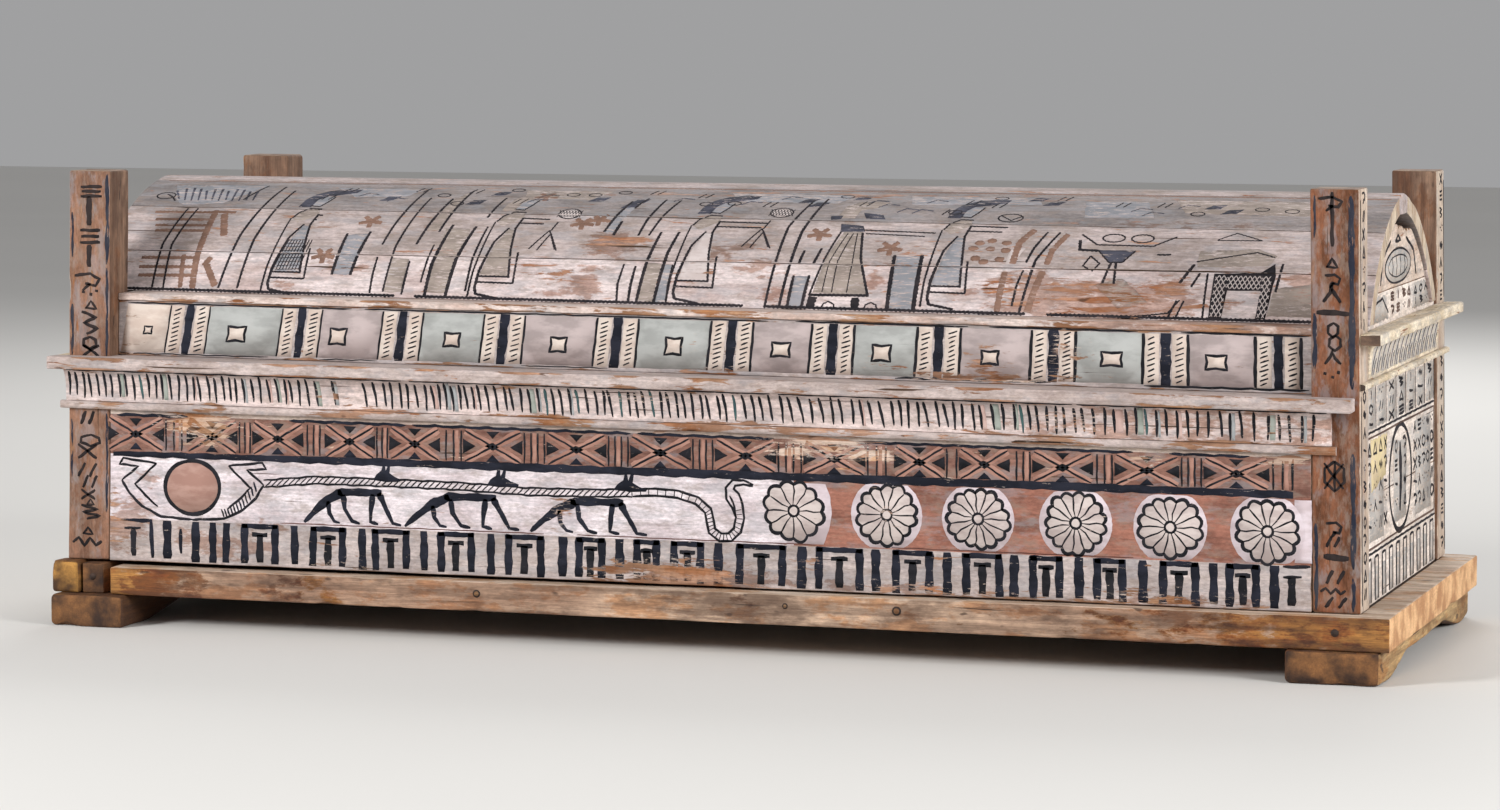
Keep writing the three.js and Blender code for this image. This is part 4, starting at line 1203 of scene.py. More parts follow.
def on_hollow(u, v, proud):
    """A place in the front cavetto: its depth follows the moulding's section."""
    deep = hollow_out((v - HOLLOW[0]) / (HOLLOW[1] - HOLLOW[0]), HOLLOW_FOOT, HOLLOW_FLARE)
    return np.stack([u, -(PLANTED + deep + proud), v], axis=1)


cornice = Sheet(301)
along = -944
while along < 902:
    gap = np.interp(along, (-950, 0, 900), (11.6, 12.2, 15)) * cornice.rng.uniform(0.75, 1.28)
    lean = np.interp(along, (-950, 200, 600, 900), (0.5, 2.8, 1, -1)) + cornice.rng.normal(0, 1.2)
    top, foot = 272 - cornice.rng.uniform(0, 4), 231 + cornice.rng.uniform(0, 5)
    chance = cornice.rng.uniform()
    if chance < 0.22:
        wash = 1 + int(cornice.rng.integers(0, 3))
        wide = gap * cornice.rng.uniform(0.35, 0.8)
        cornice.fill([along + 2 - lean, top, along + wide - lean, top, along + wide, foot, along + 2, foot],
                     wash, 0.12, 0.3, 6)
    faded = -556 < along < -488
    if not faded or chance < 0.3:
        cornice.stroke([along - lean, top, along - 0.3 * lean, (top + foot) / 2, along + 0.3 * lean, foot],
                       (4.8, 4.4, 3.2), 4 if 0.3 < chance < 0.36 else 0, 0.28, 0.5, 0.4, 5)
    along += gap
# A black line along the top of the hollow, right under the ledge: partly a painted line, partly painted
# shadow of the ledge.
for start, stop in ((-946, -420), (-408, 130), (142, 560), (566, 908)):
    cornice.stroke([start, 273.2, stop, 273.2], 2.6, 0, 0.3, 0.5, 0.5, 9)
cornice.lay("front_cavetto_paint", on_hollow, HOLLOW_PIGMENTS, flakes=HOLLOW_FLAKES)

# ------------------------
# Upper board. Grey and pinkish fields hold a small hollow-sided square each, and are
# parted by a thick blue black bar between two cream strips of slanting dashes.
FIELD_MIDDLES = (-836, -695, -536, -360, -198, -26, 132, 278, 433, 604, 749)
DIVIDERS = (-773, -596, -439, -283, -112, 58, 206, 359, 522, 679, 834)
FIELD_LOW, FIELD_HIGH = 299, 368
UPPER_PIGMENTS = FRONT_PIGMENTS[:2] + paints(
    0, CREAM,
    ("blue grey wash", "#b0b1ae", "#a0a19e", 0.66, 0.66),
    ("pinkish grey wash", "#baaba9", "#a39694", 0.66, 0.68),
    ("cream strip", "#d9cbc0", "#cbb9ad", 0.68, 0.72))
UPPER_FLAKES = (
    (420, 300, 130, 10, 0.8), (560, 330, 34, 24, 0.5), (-860, 330, 20, 40, 0.6), (60, 300, 60, 8, 0.6),
    (530, 340, 16, 36, 0.6), (250, 302, 60, 10, 0.5))
UPPER_STAINS = (
    (-360, 306, 40, 20, 0.5), (606, 364, 50, 12, 0.8), (-850, 340, 30, 40, 0.5), (280, 306, 60, 14, 0.5),
    (560, 310, 60, 20, 0.4))


def on_panel(u, v, proud):
    """A place on the upper board. What is drawn upright leans right, most at the left end."""
    lean = np.interp(u, (-800, 100, 800), (13, 8, 0)) * (v - 333) / 80
    return np.stack([u + lean, -(PANEL_FACE + proud), v + CORNICE_FALL * u / (2 * HALF) * 0.2], axis=1)


upper = Sheet(311)
for i, middle in enumerate(FIELD_MIDDLES):
    left = -874 if i == 0 else DIVIDERS[i - 1] + 31
    right = DIVIDERS[i] - 31
    upper.fill([left, FIELD_LOW, right, FIELD_LOW, right, FIELD_HIGH, left, FIELD_HIGH],
               4 if i == 0 else 2 if i in (1, 3, 5, 7, 9) else 3, 0.12, 0.5, 14)
    size = (17, 15) if i == 0 else (upper.rng.uniform(28, 34), upper.rng.uniform(22, 29))
    level = 330 + upper.rng.uniform(-2, 2)
    half_u, half_v = size[0] / 2 - 2, size[1] / 2 - 2
    ring = []
    for cu, cv, nu, nv in ((-1, -1, 1, -1), (1, -1, 1, 1), (1, 1, -1, 1), (-1, 1, -1, -1)):
        ring += [(middle + cu * half_u, level + cv * half_v),
                 (middle + (cu + nu) / 2 * half_u * 0.86, level + (cv + nv) / 2 * half_v * 0.84)]
    upper.fill(ring, 4, 0.2, 0.2, 8)
    upper.stroke(ring, 4.2 if i else 3, 0, 0.32, closed=True, wobble=0.2, step=4)
for i, bar in enumerate(DIVIDERS):
    thin = np.interp(bar, (-800, 0, 800), (2.6, 4.2, 5.4))
    for way in (-1, 1):
        upper.fill([bar + way * 9, FIELD_LOW, bar + way * 30, FIELD_LOW, bar + way * 30, FIELD_HIGH,
                    bar + way * 9, FIELD_HIGH], 4, 0.16, 0.3, 14)
        upper.stroke([bar + way * 31, FIELD_HIGH, bar + way * 31.5, FIELD_LOW], thin, 0, 0.3, 0.8)
        for level in np.arange(FIELD_LOW + 5, FIELD_HIGH - 3, upper.rng.uniform(6, 7.4)):
            middle = bar + way * 19.5 + upper.rng.uniform(-0.8, 0.8)
            slant = upper.rng.uniform(4, 6.4)
            upper.stroke([middle - slant, level - 2, middle + slant, level + 2],
                         upper.rng.uniform(2.4, 3.2), 0, 0.34, 0.7, 0.2)
    upper.stroke([bar, FIELD_HIGH + 1, bar + 0.5, FIELD_LOW - 1], upper.rng.uniform(13, 16), 1, 0.3, 0.9,
                 0.6)
# A black line along the top of the board, under the rail: partly a painted line, partly painted shadow of
# the rail.
for start, stop in ((-874, -520), (-500, 110), (150, 400), (430, 640), (700, 876)):
    upper.stroke([start, 370.5, stop, 370], 2.6, 0, 0.34, 0.3, 0.5, 14)
for start, stop in ((-874, -640), (-560, -470), (-250, -120), (300, 520), (650, 876)):
    upper.stroke([start, 297, stop, 297.5], 3.4 if start > 0 else 1.8, 0, 0.34, 0.3, 0.8, 14)
upper.lay("front_panel_paint", on_panel, UPPER_PIGMENTS, flakes=UPPER_FLAKES, stains=UPPER_STAINS)

# ------------------------
# Vault painting. On the cream and pink gesso of the front half, plain robed figures stand
# between groups of slanting lines, with altars, stands, vessels and a seat. Much is rubbed.
VAULT_LIGHT = ("#cdbdb8", "#b3a29c")
VAULT_PIGMENTS = paints(
    0, VAULT_LIGHT,
    ("black line on the vault", "#222024", "#332e31", 0.67, 0.65),
    ("brown earth on the vault", "#795d50", "#8d6e5f", 0.66, 0.6),
    ("blue grey wash on the vault", "#84858a", "#98969b", 0.66, 0.53),
    ("olive grey wash on the vault", "#8b7f77", "#a0938a", 0.66, 0.53),
    ("white wash on the vault", "#cbbfbc", "#bfb1ad", 0.66, 0.62),
    ("dark wash on the vault", "#383841", "#50505c", 0.67, 0.58))
V_BLACK, V_BROWN, V_BLUE, V_OLIVE, V_WHITE, V_DARK = range(6)
SEAM_EDGE = 0.2  # paint stops this far from a seam
PLANK_BANDS = (
    (lambda u: 0 * u + RIDGE_HALF + SEAM_EDGE, lambda u: upper_seam(u) - SEAM_EDGE),
    (lambda u: upper_seam(u) + SEAM_EDGE + 0.8, lambda u: 0 * u + LOWER_SEAM - SEAM_EDGE),
    (lambda u: 0 * u + LOWER_SEAM + SEAM_EDGE + 0.8, lambda u: vault_foot(u, VAULT_RADIUS) - 1))


def on_front_vault(u, v, proud):
    """A place on the vault's front: v runs down its curve from the ridge line."""
    return on_vault(u, v, -proud, -1)


def cut(outline, limit, way):
    """The part of an outline on one side of a line, whose height is limit(along)."""
    gap = way * (outline[:, 1] - limit(outline[:, 0]))
    kept = []
    for i in range(len(outline)):
        j = (i + 1) % len(outline)
        if gap[i] >= 0:
            kept.append(outline[i])
        if (gap[i] >= 0) != (gap[j] >= 0):
            kept.append(outline[i] + (outline[j] - outline[i]) * gap[i] / (gap[i] - gap[j]))
    return np.array(kept).reshape(-1, 2)


class VaultSheet(Sheet):
    """Paint on the vault: it breaks off at the seams between the planks."""

    def stroke(self, path, width, pigment=0, proud=0.34, taper=0.85, wobble=0.5, step=2, closed=False):
        """A brush stroke, cut into one part on each plank that it crosses."""
        line = spaced(path, step, closed)[0]
        widths = np.interp(np.linspace(0, 1, len(line)), np.linspace(0, 1, np.size(width)),
                           np.atleast_1d(width))
        plank = np.full(len(line), -1)
        for k, (top, foot) in enumerate(PLANK_BANDS):
            plank[(line[:, 1] > top(line[:, 0])) & (line[:, 1] < foot(line[:, 0]))] = k
        for run in np.split(np.arange(len(line)), np.flatnonzero(np.diff(plank)) + 1):
            if plank[run[0]] >= 0 and len(run) > 1:
                super().stroke(line[run], widths[run], pigment, proud, taper, wobble, 12)

    def fill(self, outline, pigment=0, proud=0.16, wobble=0.4, step=8, grid=9):
        """A painted shape, cut into one part on each plank that it covers."""
        outline = np.reshape(outline, (-1, 2)).astype(float)
        for top, foot in PLANK_BANDS:
            part = cut(outline, top, 1)
            part = cut(part, foot, -1) if len(part) > 2 else part
            if len(part) > 2:
                super().fill(part, pigment, proud, wobble, step, grid)


vault = VaultSheet(401)
for *outline, wash in (
        (-906, 61, -754, 57, -775, 90, -805, 123, -864, 130, -885, 114, V_BLUE),
        (-424, 178, -386, 178, -392, 300, -424, 300, V_OLIVE),
        (-574, 196, -543, 192, -549, 272, -576, 272, V_BLUE),
        (-492, 240, -463, 243, -461, 300, -490, 300, V_OLIVE),
        (-162, 98, -142, 92, -162, 150, -168, 186, -181, 178, V_BLUE),
        (-440, 100, -423, 70, -432, 180, -455, 184, V_OLIVE),
        (-98, 240, -76, 240, -75, 311, -100, 311, V_OLIVE),
        (-72, 240, -59, 242, -56, 311, -73, 311, V_BLUE), (126, 258, 147, 257, 145, 310, 126, 310, V_BLUE),
        (268, 218, 303, 217, 307, 312, 273, 312, V_BLUE), (-640, 62, -500, 64, -520, 92, -600, 96, V_BLUE),
        (510, 70, 600, 68, 620, 120, 520, 122, V_BLUE),
        (700, 196, 780, 190, 808, 204, 800, 222, 700, 228, V_OLIVE),
        (812, 262, 880, 250, 884, 306, 808, 306, V_OLIVE),
        (430, 200, 452, 196, 440, 228, 428, 228, V_WHITE),
        (560, 262, 600, 250, 640, 290, 600, 300, V_OLIVE), (250, 60, 440, 58, 450, 84, 260, 92, V_BLUE),
        (640, 60, 860, 58, 860, 110, 660, 104, V_OLIVE), (-20, 60, 170, 60, 150, 92, 0, 90, V_BLUE),
        (-340, 60, -200, 60, -230, 92, -330, 90, V_OLIVE)):
    vault.fill(outline, wash, 0.14, 1.2)

SLANTS = (
    (-853, 139, -863, 223, -856, 302, 2.4), (-837, 139, -848, 223, -838, 302, 2.4),
    (-725, 62, -745, 202, -750, 300, 2.8), (-704, 77, -720, 209, -720, 300, 2.8),
    (-755, 59, -765, 86, -775, 111, 2), (-494, 68, -510, 180, -514, 215, 2.6),
    (-478, 95, -492, 218, -490, 300, 2.4), (-514, 239, -513, 270, -510, 303, 2.4),
    (-462, 245, -461, 270, -460, 304, 2.6), (-443, 97, -455, 170, -461, 213, 3),
    (-421, 65, -428, 130, -434, 186, 2.8), (-417, 169, -426, 250, -424, 307, 4),
    (-433, 213, -435, 240, -435, 283, 2.2), (-380, 172, -391, 240, -392, 312, 4),
    (-362, 172, -366, 240, -363, 296, 2.6), (-360, 91, -366, 120, -370, 150, 2.6),
    (-162, 96, -173, 139, -180, 179, 3.2), (-160, 153, -162, 170, -164, 186, 3.4),
    (-140, 85, -147, 100, -152, 118, 2.6), (-112, 88, -123, 147, -126, 186, 2.8),
    (-89, 90, -102, 137, -110, 185, 2.6), (-93, 177, -99, 236, -100, 311, 3.6),
    (-66, 176, -72, 221, -74, 311, 3.6), (-132, 243, -134, 278, -129, 311, 2.4),
    (-114, 246, -114, 281, -112, 311, 3), (-59, 242, -58, 280, -55, 311, 2),
    (112, 83, 94, 160, 92, 311, 2.8), (131, 76, 117, 170, 113, 311, 3.2),
    (125, 257, 125, 280, 125, 310, 3.4), (148, 256, 147, 280, 146, 310, 3.4),
    (131, 210, 129, 224, 128, 236, 3), (155, 205, 152, 222, 149, 236, 3),
    (-576, 193, -577, 230, -577, 273, 3.6), (-541, 188, -546, 230, -548, 273, 3.6),
    (265, 216, 268, 260, 271, 312, 4.4), (305, 215, 307, 260, 309, 312, 4.8),
    (476, 161, 463, 197, 457, 225, 2.6), (494, 161, 470, 220, 461, 309, 2.8),
    (456, 239, 451, 264, 449, 300, 2.4), (640, 205, 652, 205, 660, 204, 2.4))
for *path, width in SLANTS:
    vault.stroke(path, (1.2 * width, 1.6 * width, 1.4 * width))
for *path, width in (
        (456, 156, 440, 186, 438, 228, 11), (506, 165, 490, 200, 487, 228, 10),
        (430, 243, 429, 277, 429, 309, 10), (484, 240, 477, 276, 472, 309, 11),
        (-805, 143, -800, 246, -791, 304, 11), (-822, 242, -811, 301, 8), (-801, 147, -772, 148, 7),
        (-789, 152, -771, 203, 12), (-777, 246, -784, 262, 10), (-780, 260, -756, 297, 11)):
    vault.stroke(path, width, V_BROWN, 0.24, 0.8)
for level, start, stop in (
        (150, -903, -806), (168, -895, -802), (182, -890, -799), (194, -886, -797), (249, -888, -803),
        (266, -887, -800), (281, -884, -797)):
    vault.stroke([start, level, stop, level - 1.5], 6.5, V_BROWN, 0.22)
for k in range(12):
    lift = vault.rng.uniform(0, 14)
    vault.stroke([-895 + 12 * k, 70 + lift, -880 + 11 * k, 118 - 0.4 * lift], (4.4, 2.4), V_DARK)
vault.stroke(circle(-905, 102, 15, 14, 0.7), 2.4, closed=True)
vault.stroke([-905, 97, -893, 106, -884, 118], 3)


def figure(left, dark, hem, wash, reach_out):
    """A plain standing figure in a long robe, facing right: a cap of hair and a blank face, a rounded
    shoulder, an arm held out, a robe that widens to a double hem, and a long foot."""
    def at(*path):
        return np.reshape(path, (-1, 2)) + (left, 0)
    vault.fill(at(14, 126, 30, 128, 38, 114, 44, 98, 28, 96, 14, 106), V_BLUE, 0.2)
    vault.stroke(at(14, 126, 30, 128, 38, 114, 44, 98), 2.4)
    vault.fill(at(-4, 130, 0, 108, 10, 90, 28, 76, 56, 68, 76, 70, 72, 82, 50, 90, 30, 96, 20, 108, 16,
                  130), dark, 0.24)
    vault.fill(at(-2, 160, 4, 145, 18, 135, 34, 136, 36, 148, 24, 160, 10, 170), V_OLIVE, 0.2)
    vault.stroke(at(-2, 160, 4, 145, 18, 134, 36, 135), 3.2)
    vault.fill(at(22, 176, 10, 215, 2, 270, hem, 270, 34, 180), wash, 0.2)
    for *path, width in (
            (22, 174, 8, 205, 0, 262, 0, 290, 4, 300, 40, 307, (3.4, 4, 5, 4.8, 4)),
            (-4, 160, -6, 205, -9, 262, -8, 304, (2.4, 3.2, 3.6)),
            (36, 150, 32, 175, 38, 220, hem, 272, 3.8), (2, 270, hem, 270, 3.4),
            (1, 280, hem + 9, 281, hem + 3, 225, 3.4), (34, 150, reach_out, 152, 3.2),
            (32, 162, reach_out - 6, 163, 3.2)):
        vault.stroke(at(*path), width)


figure(-674, V_DARK, 46, V_BLUE, 44)
figure(-350, V_OLIVE, 48, V_OLIVE, 78)
figure(-48, V_DARK, 48, V_WHITE, 108)
figure(326, V_DARK, 44, V_BLUE, 90)
for k in range(9):
    vault.stroke([-664 + 4.6 * k, 208, -672 + 5 * k, 266], 1.8)
    vault.stroke([-668, 210 + 7 * k, -636 + k, 208 + 7 * k], 1.5)

robe = [180, 168, 166, 225, 158, 286, 238, 287, 220, 225, 206, 168]
vault.fill(robe, V_OLIVE, 0.2)
vault.fill([160, 134, 166, 100, 184, 84, 228, 84, 214, 104, 190, 112, 186, 136], V_OLIVE, 0.22)
vault.fill([150, 130, 168, 128, 166, 138, 152, 140], V_DARK, 0.26)
vault.fill([196, 120, 226, 124, 232, 136, 204, 136], V_DARK, 0.26)
vault.fill([170, 150, 204, 154, 210, 168, 174, 169], V_DARK, 0.26)
for *path, width in (
        (175, 169, 164, 225, 154, 290, 3.4), (194, 172, 184, 230, 186, 284, 2),
        (200, 172, 206, 230, 208, 284, 1.8), (186, 172, 172, 232, 172, 284, 1.8),
        (207, 170, 217, 225, 240, 290, 4.2), (154, 289, 238, 288, 4.8), (208, 164, 314, 168, 2.8),
        (212, 172, 300, 176, 2.4), (160, 292, 158, 310, 14), (222, 292, 224, 311, 13)):
    vault.stroke(path, width, V_BLACK, 0.32)
for middle in (184, 246):
    vault.stroke([middle - 10, 312, middle - 7, 303, middle, 299, middle + 8, 303, middle + 11, 312], 2.4)

for u, v in ((-549, 164), (-600, 238), (-219, 160), (145, 175), (255, 202), (-300, 84), (-196, 150)):
    for k in range(5):
        angle = 2 * np.pi * (k + 0.2) / 5
        vault.stroke([u, v, u + 19 * math.cos(angle), v + 15 * math.sin(angle)], (10, 8), V_BROWN, 0.24)
for u, v in (
        (383, 188), (400, 183), (422, 187), (376, 199), (401, 200), (423, 202), (383, 219), (396, 225),
        (418, 220)):
    vault.fill(circle(u, v, 7.5, 9, 0.7), V_BROWN, 0.24, 0.8, 5)


def stand(u, v, size):
    """A splayed stand with a hatched oval loaf over it."""
    for way in (-1, 1):
        vault.stroke([u - 2, v, u + way * 20 * size - 3, v + 40 * size], 2.4)
        vault.stroke([u + 2, v + 7, u + way * 15 * size + 5, v + 42 * size], 2.4)
    vault.stroke([u, v, u + 5, v - 20], 2.6)
    vault.fill(circle(u + 16, v - 42, 17, 16, 0.75), V_WHITE, 0.2)
    vault.stroke(circle(u + 16, v - 42, 17, 16, 0.75), 2.4, closed=True)
    for k in range(-3, 4):
        vault.stroke([u + 16 + 4.6 * k - 4, v - 51, u + 16 + 4.6 * k + 4, v - 33], 1.2)
        vault.stroke([u + 16 + 4.6 * k + 4, v - 51, u + 16 + 4.6 * k - 4, v - 33], 1.2)


stand(-262, 178, 1)
stand(58, 165, 1)
vault.stroke(circle(414, 127, 18, 16, 0.6), 2.2, closed=True)
vault.stroke([398, 120, 416, 134, 430, 122], 2)

vault.fill([556, 198, 575, 221, 594, 221, 608, 198], V_DARK, 0.22)
for *path, width in (
        (526, 165, 552, 187, 632, 188, 662, 167, 3), (526, 178, 529, 198, 556, 199, 5),
        (556, 199, 575, 222, 594, 221, 609, 198, 2.6), (578, 222, 571, 262, 4), (585, 222, 588, 260, 4),
        (547, 210, 539, 229, 554, 238, 562, 224, 547, 210, 2.8)):
    vault.stroke(path, width)
for u in (573, 614):
    vault.stroke(circle(u, 172, 16, 14, 0.55), 2.6, closed=True)
vault.stroke([720, 172, 745, 156, 783, 172, 720, 173], 2)
vault.stroke([626, 311, 650, 308, 670, 305, 684, 284], 2.4)

CHAIR = [726, 238, 790, 236, 808, 218, 812, 240, 806, 311, 792, 311, 794, 266, 748, 267, 745, 311, 727, 311]
vault.fill(CHAIR, V_BLACK, 0.26)
for *path, width in (
        (717, 238, 719, 311, 3.2), (819, 218, 815, 268, 4), (698, 217, 780, 197, 806, 206, 2.6),
        (696, 222, 680, 256, 5), (707, 236, 697, 262, 3.6), (680, 285, 671, 311, 3.4),
        (690, 285, 682, 311, 3)):
    vault.stroke(path, width)
for left, right, foot in ((729, 745, 309), (794, 807, 309), (746, 793, 264)):
    for way in (-1, 1):
        for start in np.arange(left - 60, right + 60, 6.5):
            reach_down = sorted(241 + way * (edge - start) / 0.55 for edge in (left, right))
            high, low = max(reach_down[0], 241), min(reach_down[1], foot)
            if low - high > 3:
                vault.stroke([(start + way * 0.55 * (v - 241), v) for v in (high, low)], 1.5, V_WHITE, 0.36,
                             0.7, 0.1)

for along in np.arange(-640, 870, 21):
    if vault.rng.uniform() < 0.8:
        u, v = along + vault.rng.uniform(-10, 10), vault.rng.uniform(52, 108)
        kind = vault.rng.integers(0, 4)
        if kind == 0:
            vault.fill([u, v + 14, u + 10, v, u + 30, v - 2, u + 22, v + 12], V_DARK, 0.22, 1)
        elif kind == 1:
            vault.stroke([u, v + 16, u + 8, v], 2.4)
            vault.stroke([u + 11, v + 16, u + 19, v], 2.4)
        elif kind == 2:
            vault.stroke(circle(u + 10, v + 6, 10, 12, 0.6), 2, closed=True)
        else:
            vault.stroke([u, v + 14, u + 12, v + 2, u + 30, v + 6], 2.2, V_DARK)
# A black line along the vault's foot, at its joint with the rail: the dark joint, and partly painted shadow
# in it.
FOOT_LINE = tuple(vault_foot(np.array([u]), VAULT_RADIUS)[0] - 3.6 for u in (-930, 930))
for start, stop in ((-930, -470), (-440, 60), (90, 470), (500, 900)):
    levels = [np.interp(u, (-930, 930), FOOT_LINE) for u in (start, stop)]
    vault.stroke([start, levels[0], stop, levels[1]], 5, V_BLACK, 0.34, 0.4, 0.9)
vault.stroke([-930, 39, -300, 40, 300, 41, 940, 41], (2, 3, 4.5, 4.5), V_BROWN, 0.2, 0.5, 1)
vault.lay("front_vault_paint", on_front_vault, VAULT_PIGMENTS, flip=True, flakes=VAULT_FLAKES,
          stains=VAULT_STAINS, follows=False)

# ------------------------
# Marks on the uprights. One column of black brush marks runs down each front post, kept to
# plain bars, loops and zigzags, beside worn blue black stripes along the post's edges.
POST_PIGMENTS = paints(
    2, ("#8d6b5c", "#705145"), ("black brush marks on a post", "#201c1d", "#332b2a", 0.68, 0.68),
    ("blue black stripe on a post", "#262936", "#3a3a42", 0.62, 0.58))
STEM, BAR, SLANTED, ZIGZAG, PEAK, CROSS, LOOP, HOOK, WAVE, DOTS, STACK, SPLAY = range(12)
MARKS = (
    ((0, 0.5, 0.05, 0, 0, -0.5),), ((-0.5, 0.1, 0.5, -0.1),),
    ((-0.4, -0.5, -0.1, 0.5), (0.1, -0.5, 0.4, 0.5)),
    ((-0.5, 0.5, 0.4, 0.25, -0.4, 0, 0.5, -0.25, -0.2, -0.5),),
    ((-0.5, -0.5, 0, 0.5, 0.5, -0.5, -0.5, -0.45),), ((-0.5, -0.5, 0.5, 0.5), (-0.5, 0.5, 0.5, -0.5)),
    ((0, 0.5, 0.42, 0.25, 0.45, -0.2, 0, -0.5, -0.45, -0.2, -0.42, 0.25, 0, 0.5),),
    ((-0.5, 0.4, 0.1, 0.5, 0.45, 0.2, 0.3, -0.2, -0.1, -0.1), (0.1, -0.1, -0.2, -0.5)),
    ((-0.5, -0.1, -0.3, 0.3, -0.1, -0.3, 0.1, 0.3, 0.3, -0.3, 0.5, 0.1),),
    ((-0.4, 0.2, -0.25, 0.15), (0, -0.1, 0.15, -0.15), (0.3, 0.3, 0.45, 0.25)),
    ((-0.5, 0.4, 0.5, 0.42), (-0.45, 0, 0.45, 0.03), (-0.5, -0.4, 0.5, -0.38)),
    ((0, 0.5, -0.1, 0, -0.45, -0.5), (0, 0.2, 0.15, -0.1, 0.45, -0.5)))


def mark(sheet, kind, u, v, wide, tall, width, pigment=0):
    """One plain brush mark of the given kind, a letter of no script, in a box about its middle."""
    for path in MARKS[kind]:
        sheet.stroke(np.reshape(path, (-1, 2)) * (wide, tall) + (u, v), width, pigment, 0.34, 0.7, 0.6, 5)


def on_post_front(u, v, proud):
    """A place on the posts' long-side face."""
    return np.stack([u, -(FACE + proud), v], axis=1)


POST_MARKS = {
    "left": (
        (STACK, 535, 34, 17, 4.2), (STEM, 507, 3, 42, 8), (STACK, 470, 32, 22, 4.4), (STEM, 442, 3, 32, 7),
        (HOOK, 404, 42, 24, 4), (DOTS, 388, 30, 12, 5), (PEAK, 371, 18, 11, 3.2),
        (ZIGZAG, 345, 26, 32, 4.4), (LOOP, 316, 22, 18, 4.2), (CROSS, 305, 26, 16, 3.8),
        (SLANTED, 207, 26, 19, 5), (LOOP, 174, 34, 16, 3.8), (CROSS, 158, 30, 20, 4),
        (SLANTED, 131, 36, 20, 4), (SLANTED, 114, 28, 18, 4), (CROSS, 95, 22, 14, 3.6),
        (PEAK, 84, 12, 8, 2.8), (ZIGZAG, 69, 30, 20, 3.8), (PEAK, 42, 16, 10, 3), (WAVE, 26, 46, 18, 4.2)),
    "right": (
        (STEM, 525, 3, 72, 4.6), (HOOK, 545, 34, 18, 3.6), (PEAK, 467, 15, 12, 3.2),
        (HOOK, 443, 22, 18, 3.4), (SPLAY, 428, 26, 26, 4.6), (BAR, 401, 44, 8, 6.5),
        (LOOP, 378, 15, 20, 3.4), (LOOP, 361, 18, 20, 3.4), (SPLAY, 343, 24, 20, 3.6),
        (DOTS, 318, 26, 16, 5), (LOOP, 184, 30, 40, 3.4), (CROSS, 184, 26, 34, 3), (STEM, 184, 2, 40, 3.2),
        (HOOK, 112, 22, 20, 3.6), (SLANTED, 96, 22, 14, 4), (BAR, 75, 34, 10, 7.5),
        (SLANTED, 49, 30, 18, 4.4), (WAVE, 30, 34, 12, 3.6), (SLANTED, 15, 36, 14, 4.2))}
POST_STRIPES = {
    "left": ((-889, 560, 430, 7), (-889, 425, 296, 5), (-944.5, 505, 440, 4.5),
             (-944.5, 372, 298, 6), (-944.5, 205, 120, 3.6), (-888.5, 214, 70, 4.5)),
    "right": ((939, 556, 300, 10), (939.5, 214, 60, 8.5), (889, 400, 326, 7),
              (889.5, 556, 500, 4), (889.5, 120, 4, 6), (939.5, 48, 3, 6))}
for side_name, middle, seed in (("left", -917, 501), ("right", 914, 503)):
    brushed = Sheet(seed)
    for kind, level, wide, tall, width in POST_MARKS[side_name]:
        mark(brushed, kind, middle + brushed.rng.uniform(-3, 3), level, wide, tall, 1.2 * width)
    for along, top, foot, width in POST_STRIPES[side_name]:
        brushed.stroke([along, top, along + 0.8, (top + foot) / 2, along, foot],
                       (0.7 * width, width, 0.6 * width, 1.1 * width, 0.5 * width), 1, 0.3, 0.4, 0.6, 6)
    brushed.lay("post_front_" + side_name + "_marks", on_post_front, POST_PIGMENTS,
                slot="painted_post", follows=False)

# ------------------------
# Pegs of the base. Round dowels of paler wood, each in a dark rim, are driven through the
# front plank's edge, and the two outermost are only dark discs: painted shade in place of holes.
peg_rim_and_hole_shade = bare_wood("dark peg rim and painted shade of a peg hole", 0, "#20150f", "#2f2018", "#3d2a20")
peg_wood = bare_wood("brown dowel end", 0, "#5c4029", "#86633f", "#a57f58")
PEGS = ((-916, 24, 5), (-316, 25, 5.6), (140, 27, 4), (300, 27, 6.5), (905, 24, 5.4))  # X, height, radius
INNER_BATTEN_END = -890  # X where the inner batten ends and the front plank begins
PLAIN_HOLE = 400  # pegs further from the middle than this are only a dark disc, painted shade of a hole
plank_low, inner_low = box_mm("base_plank_front")[0], box_mm("base_inner_batten")[0]
pegs = Sheet(521)
for u, height, radius in PEGS:
    level = plank_low[2] + height - CASE_Z
    pegs.fill(circle(u - CASE_X, level, radius, 16), 0, 0.5, 0.2, 3)
    if abs(u) < PLAIN_HOLE:
        pegs.fill(circle(u - CASE_X, level, 0.62 * radius, 14), 1, 0.9, 0.15, 2)


def on_base_edge(u, v, proud):
    """A place on the base's front edge: the inner batten's end at the left, the front plank from there."""
    edge = np.where(u + CASE_X < INNER_BATTEN_END, inner_low[1], plank_low[1])
    return np.stack([u, edge - proud, v], axis=1)


pegs.lay("base_front_pegs", on_base_edge, [peg_rim_and_hole_shade, peg_wood], slot="bare_wood", follows=False)

# ------------------------
# Right end painting. An upright oval in a framed panel, with columns of plain marks about
# it, bars along the foot, curved shapes in the cavetto and a shaded oval on the gable.
END_LIGHT = ("#dccdc0", "#c2b0a2")
END_PIGMENTS = paints(
    1, END_LIGHT,
    ("black brushwork on an end", "#201e22", "#343034", 0.68, 0.65),
    ("grey wash on an end", "#a9a5a2", "#bdb6b0", 0.67, 0.53),
    ("brown umber line on an end", "#54423c", "#6b574e", 0.68, 0.66),
    ("yellow earth on an end", "#d9c79b", "#d0bd9c", 0.67, 0.6))
E_BLACK, E_GREY, E_BROWN, E_YELLOW = range(4)


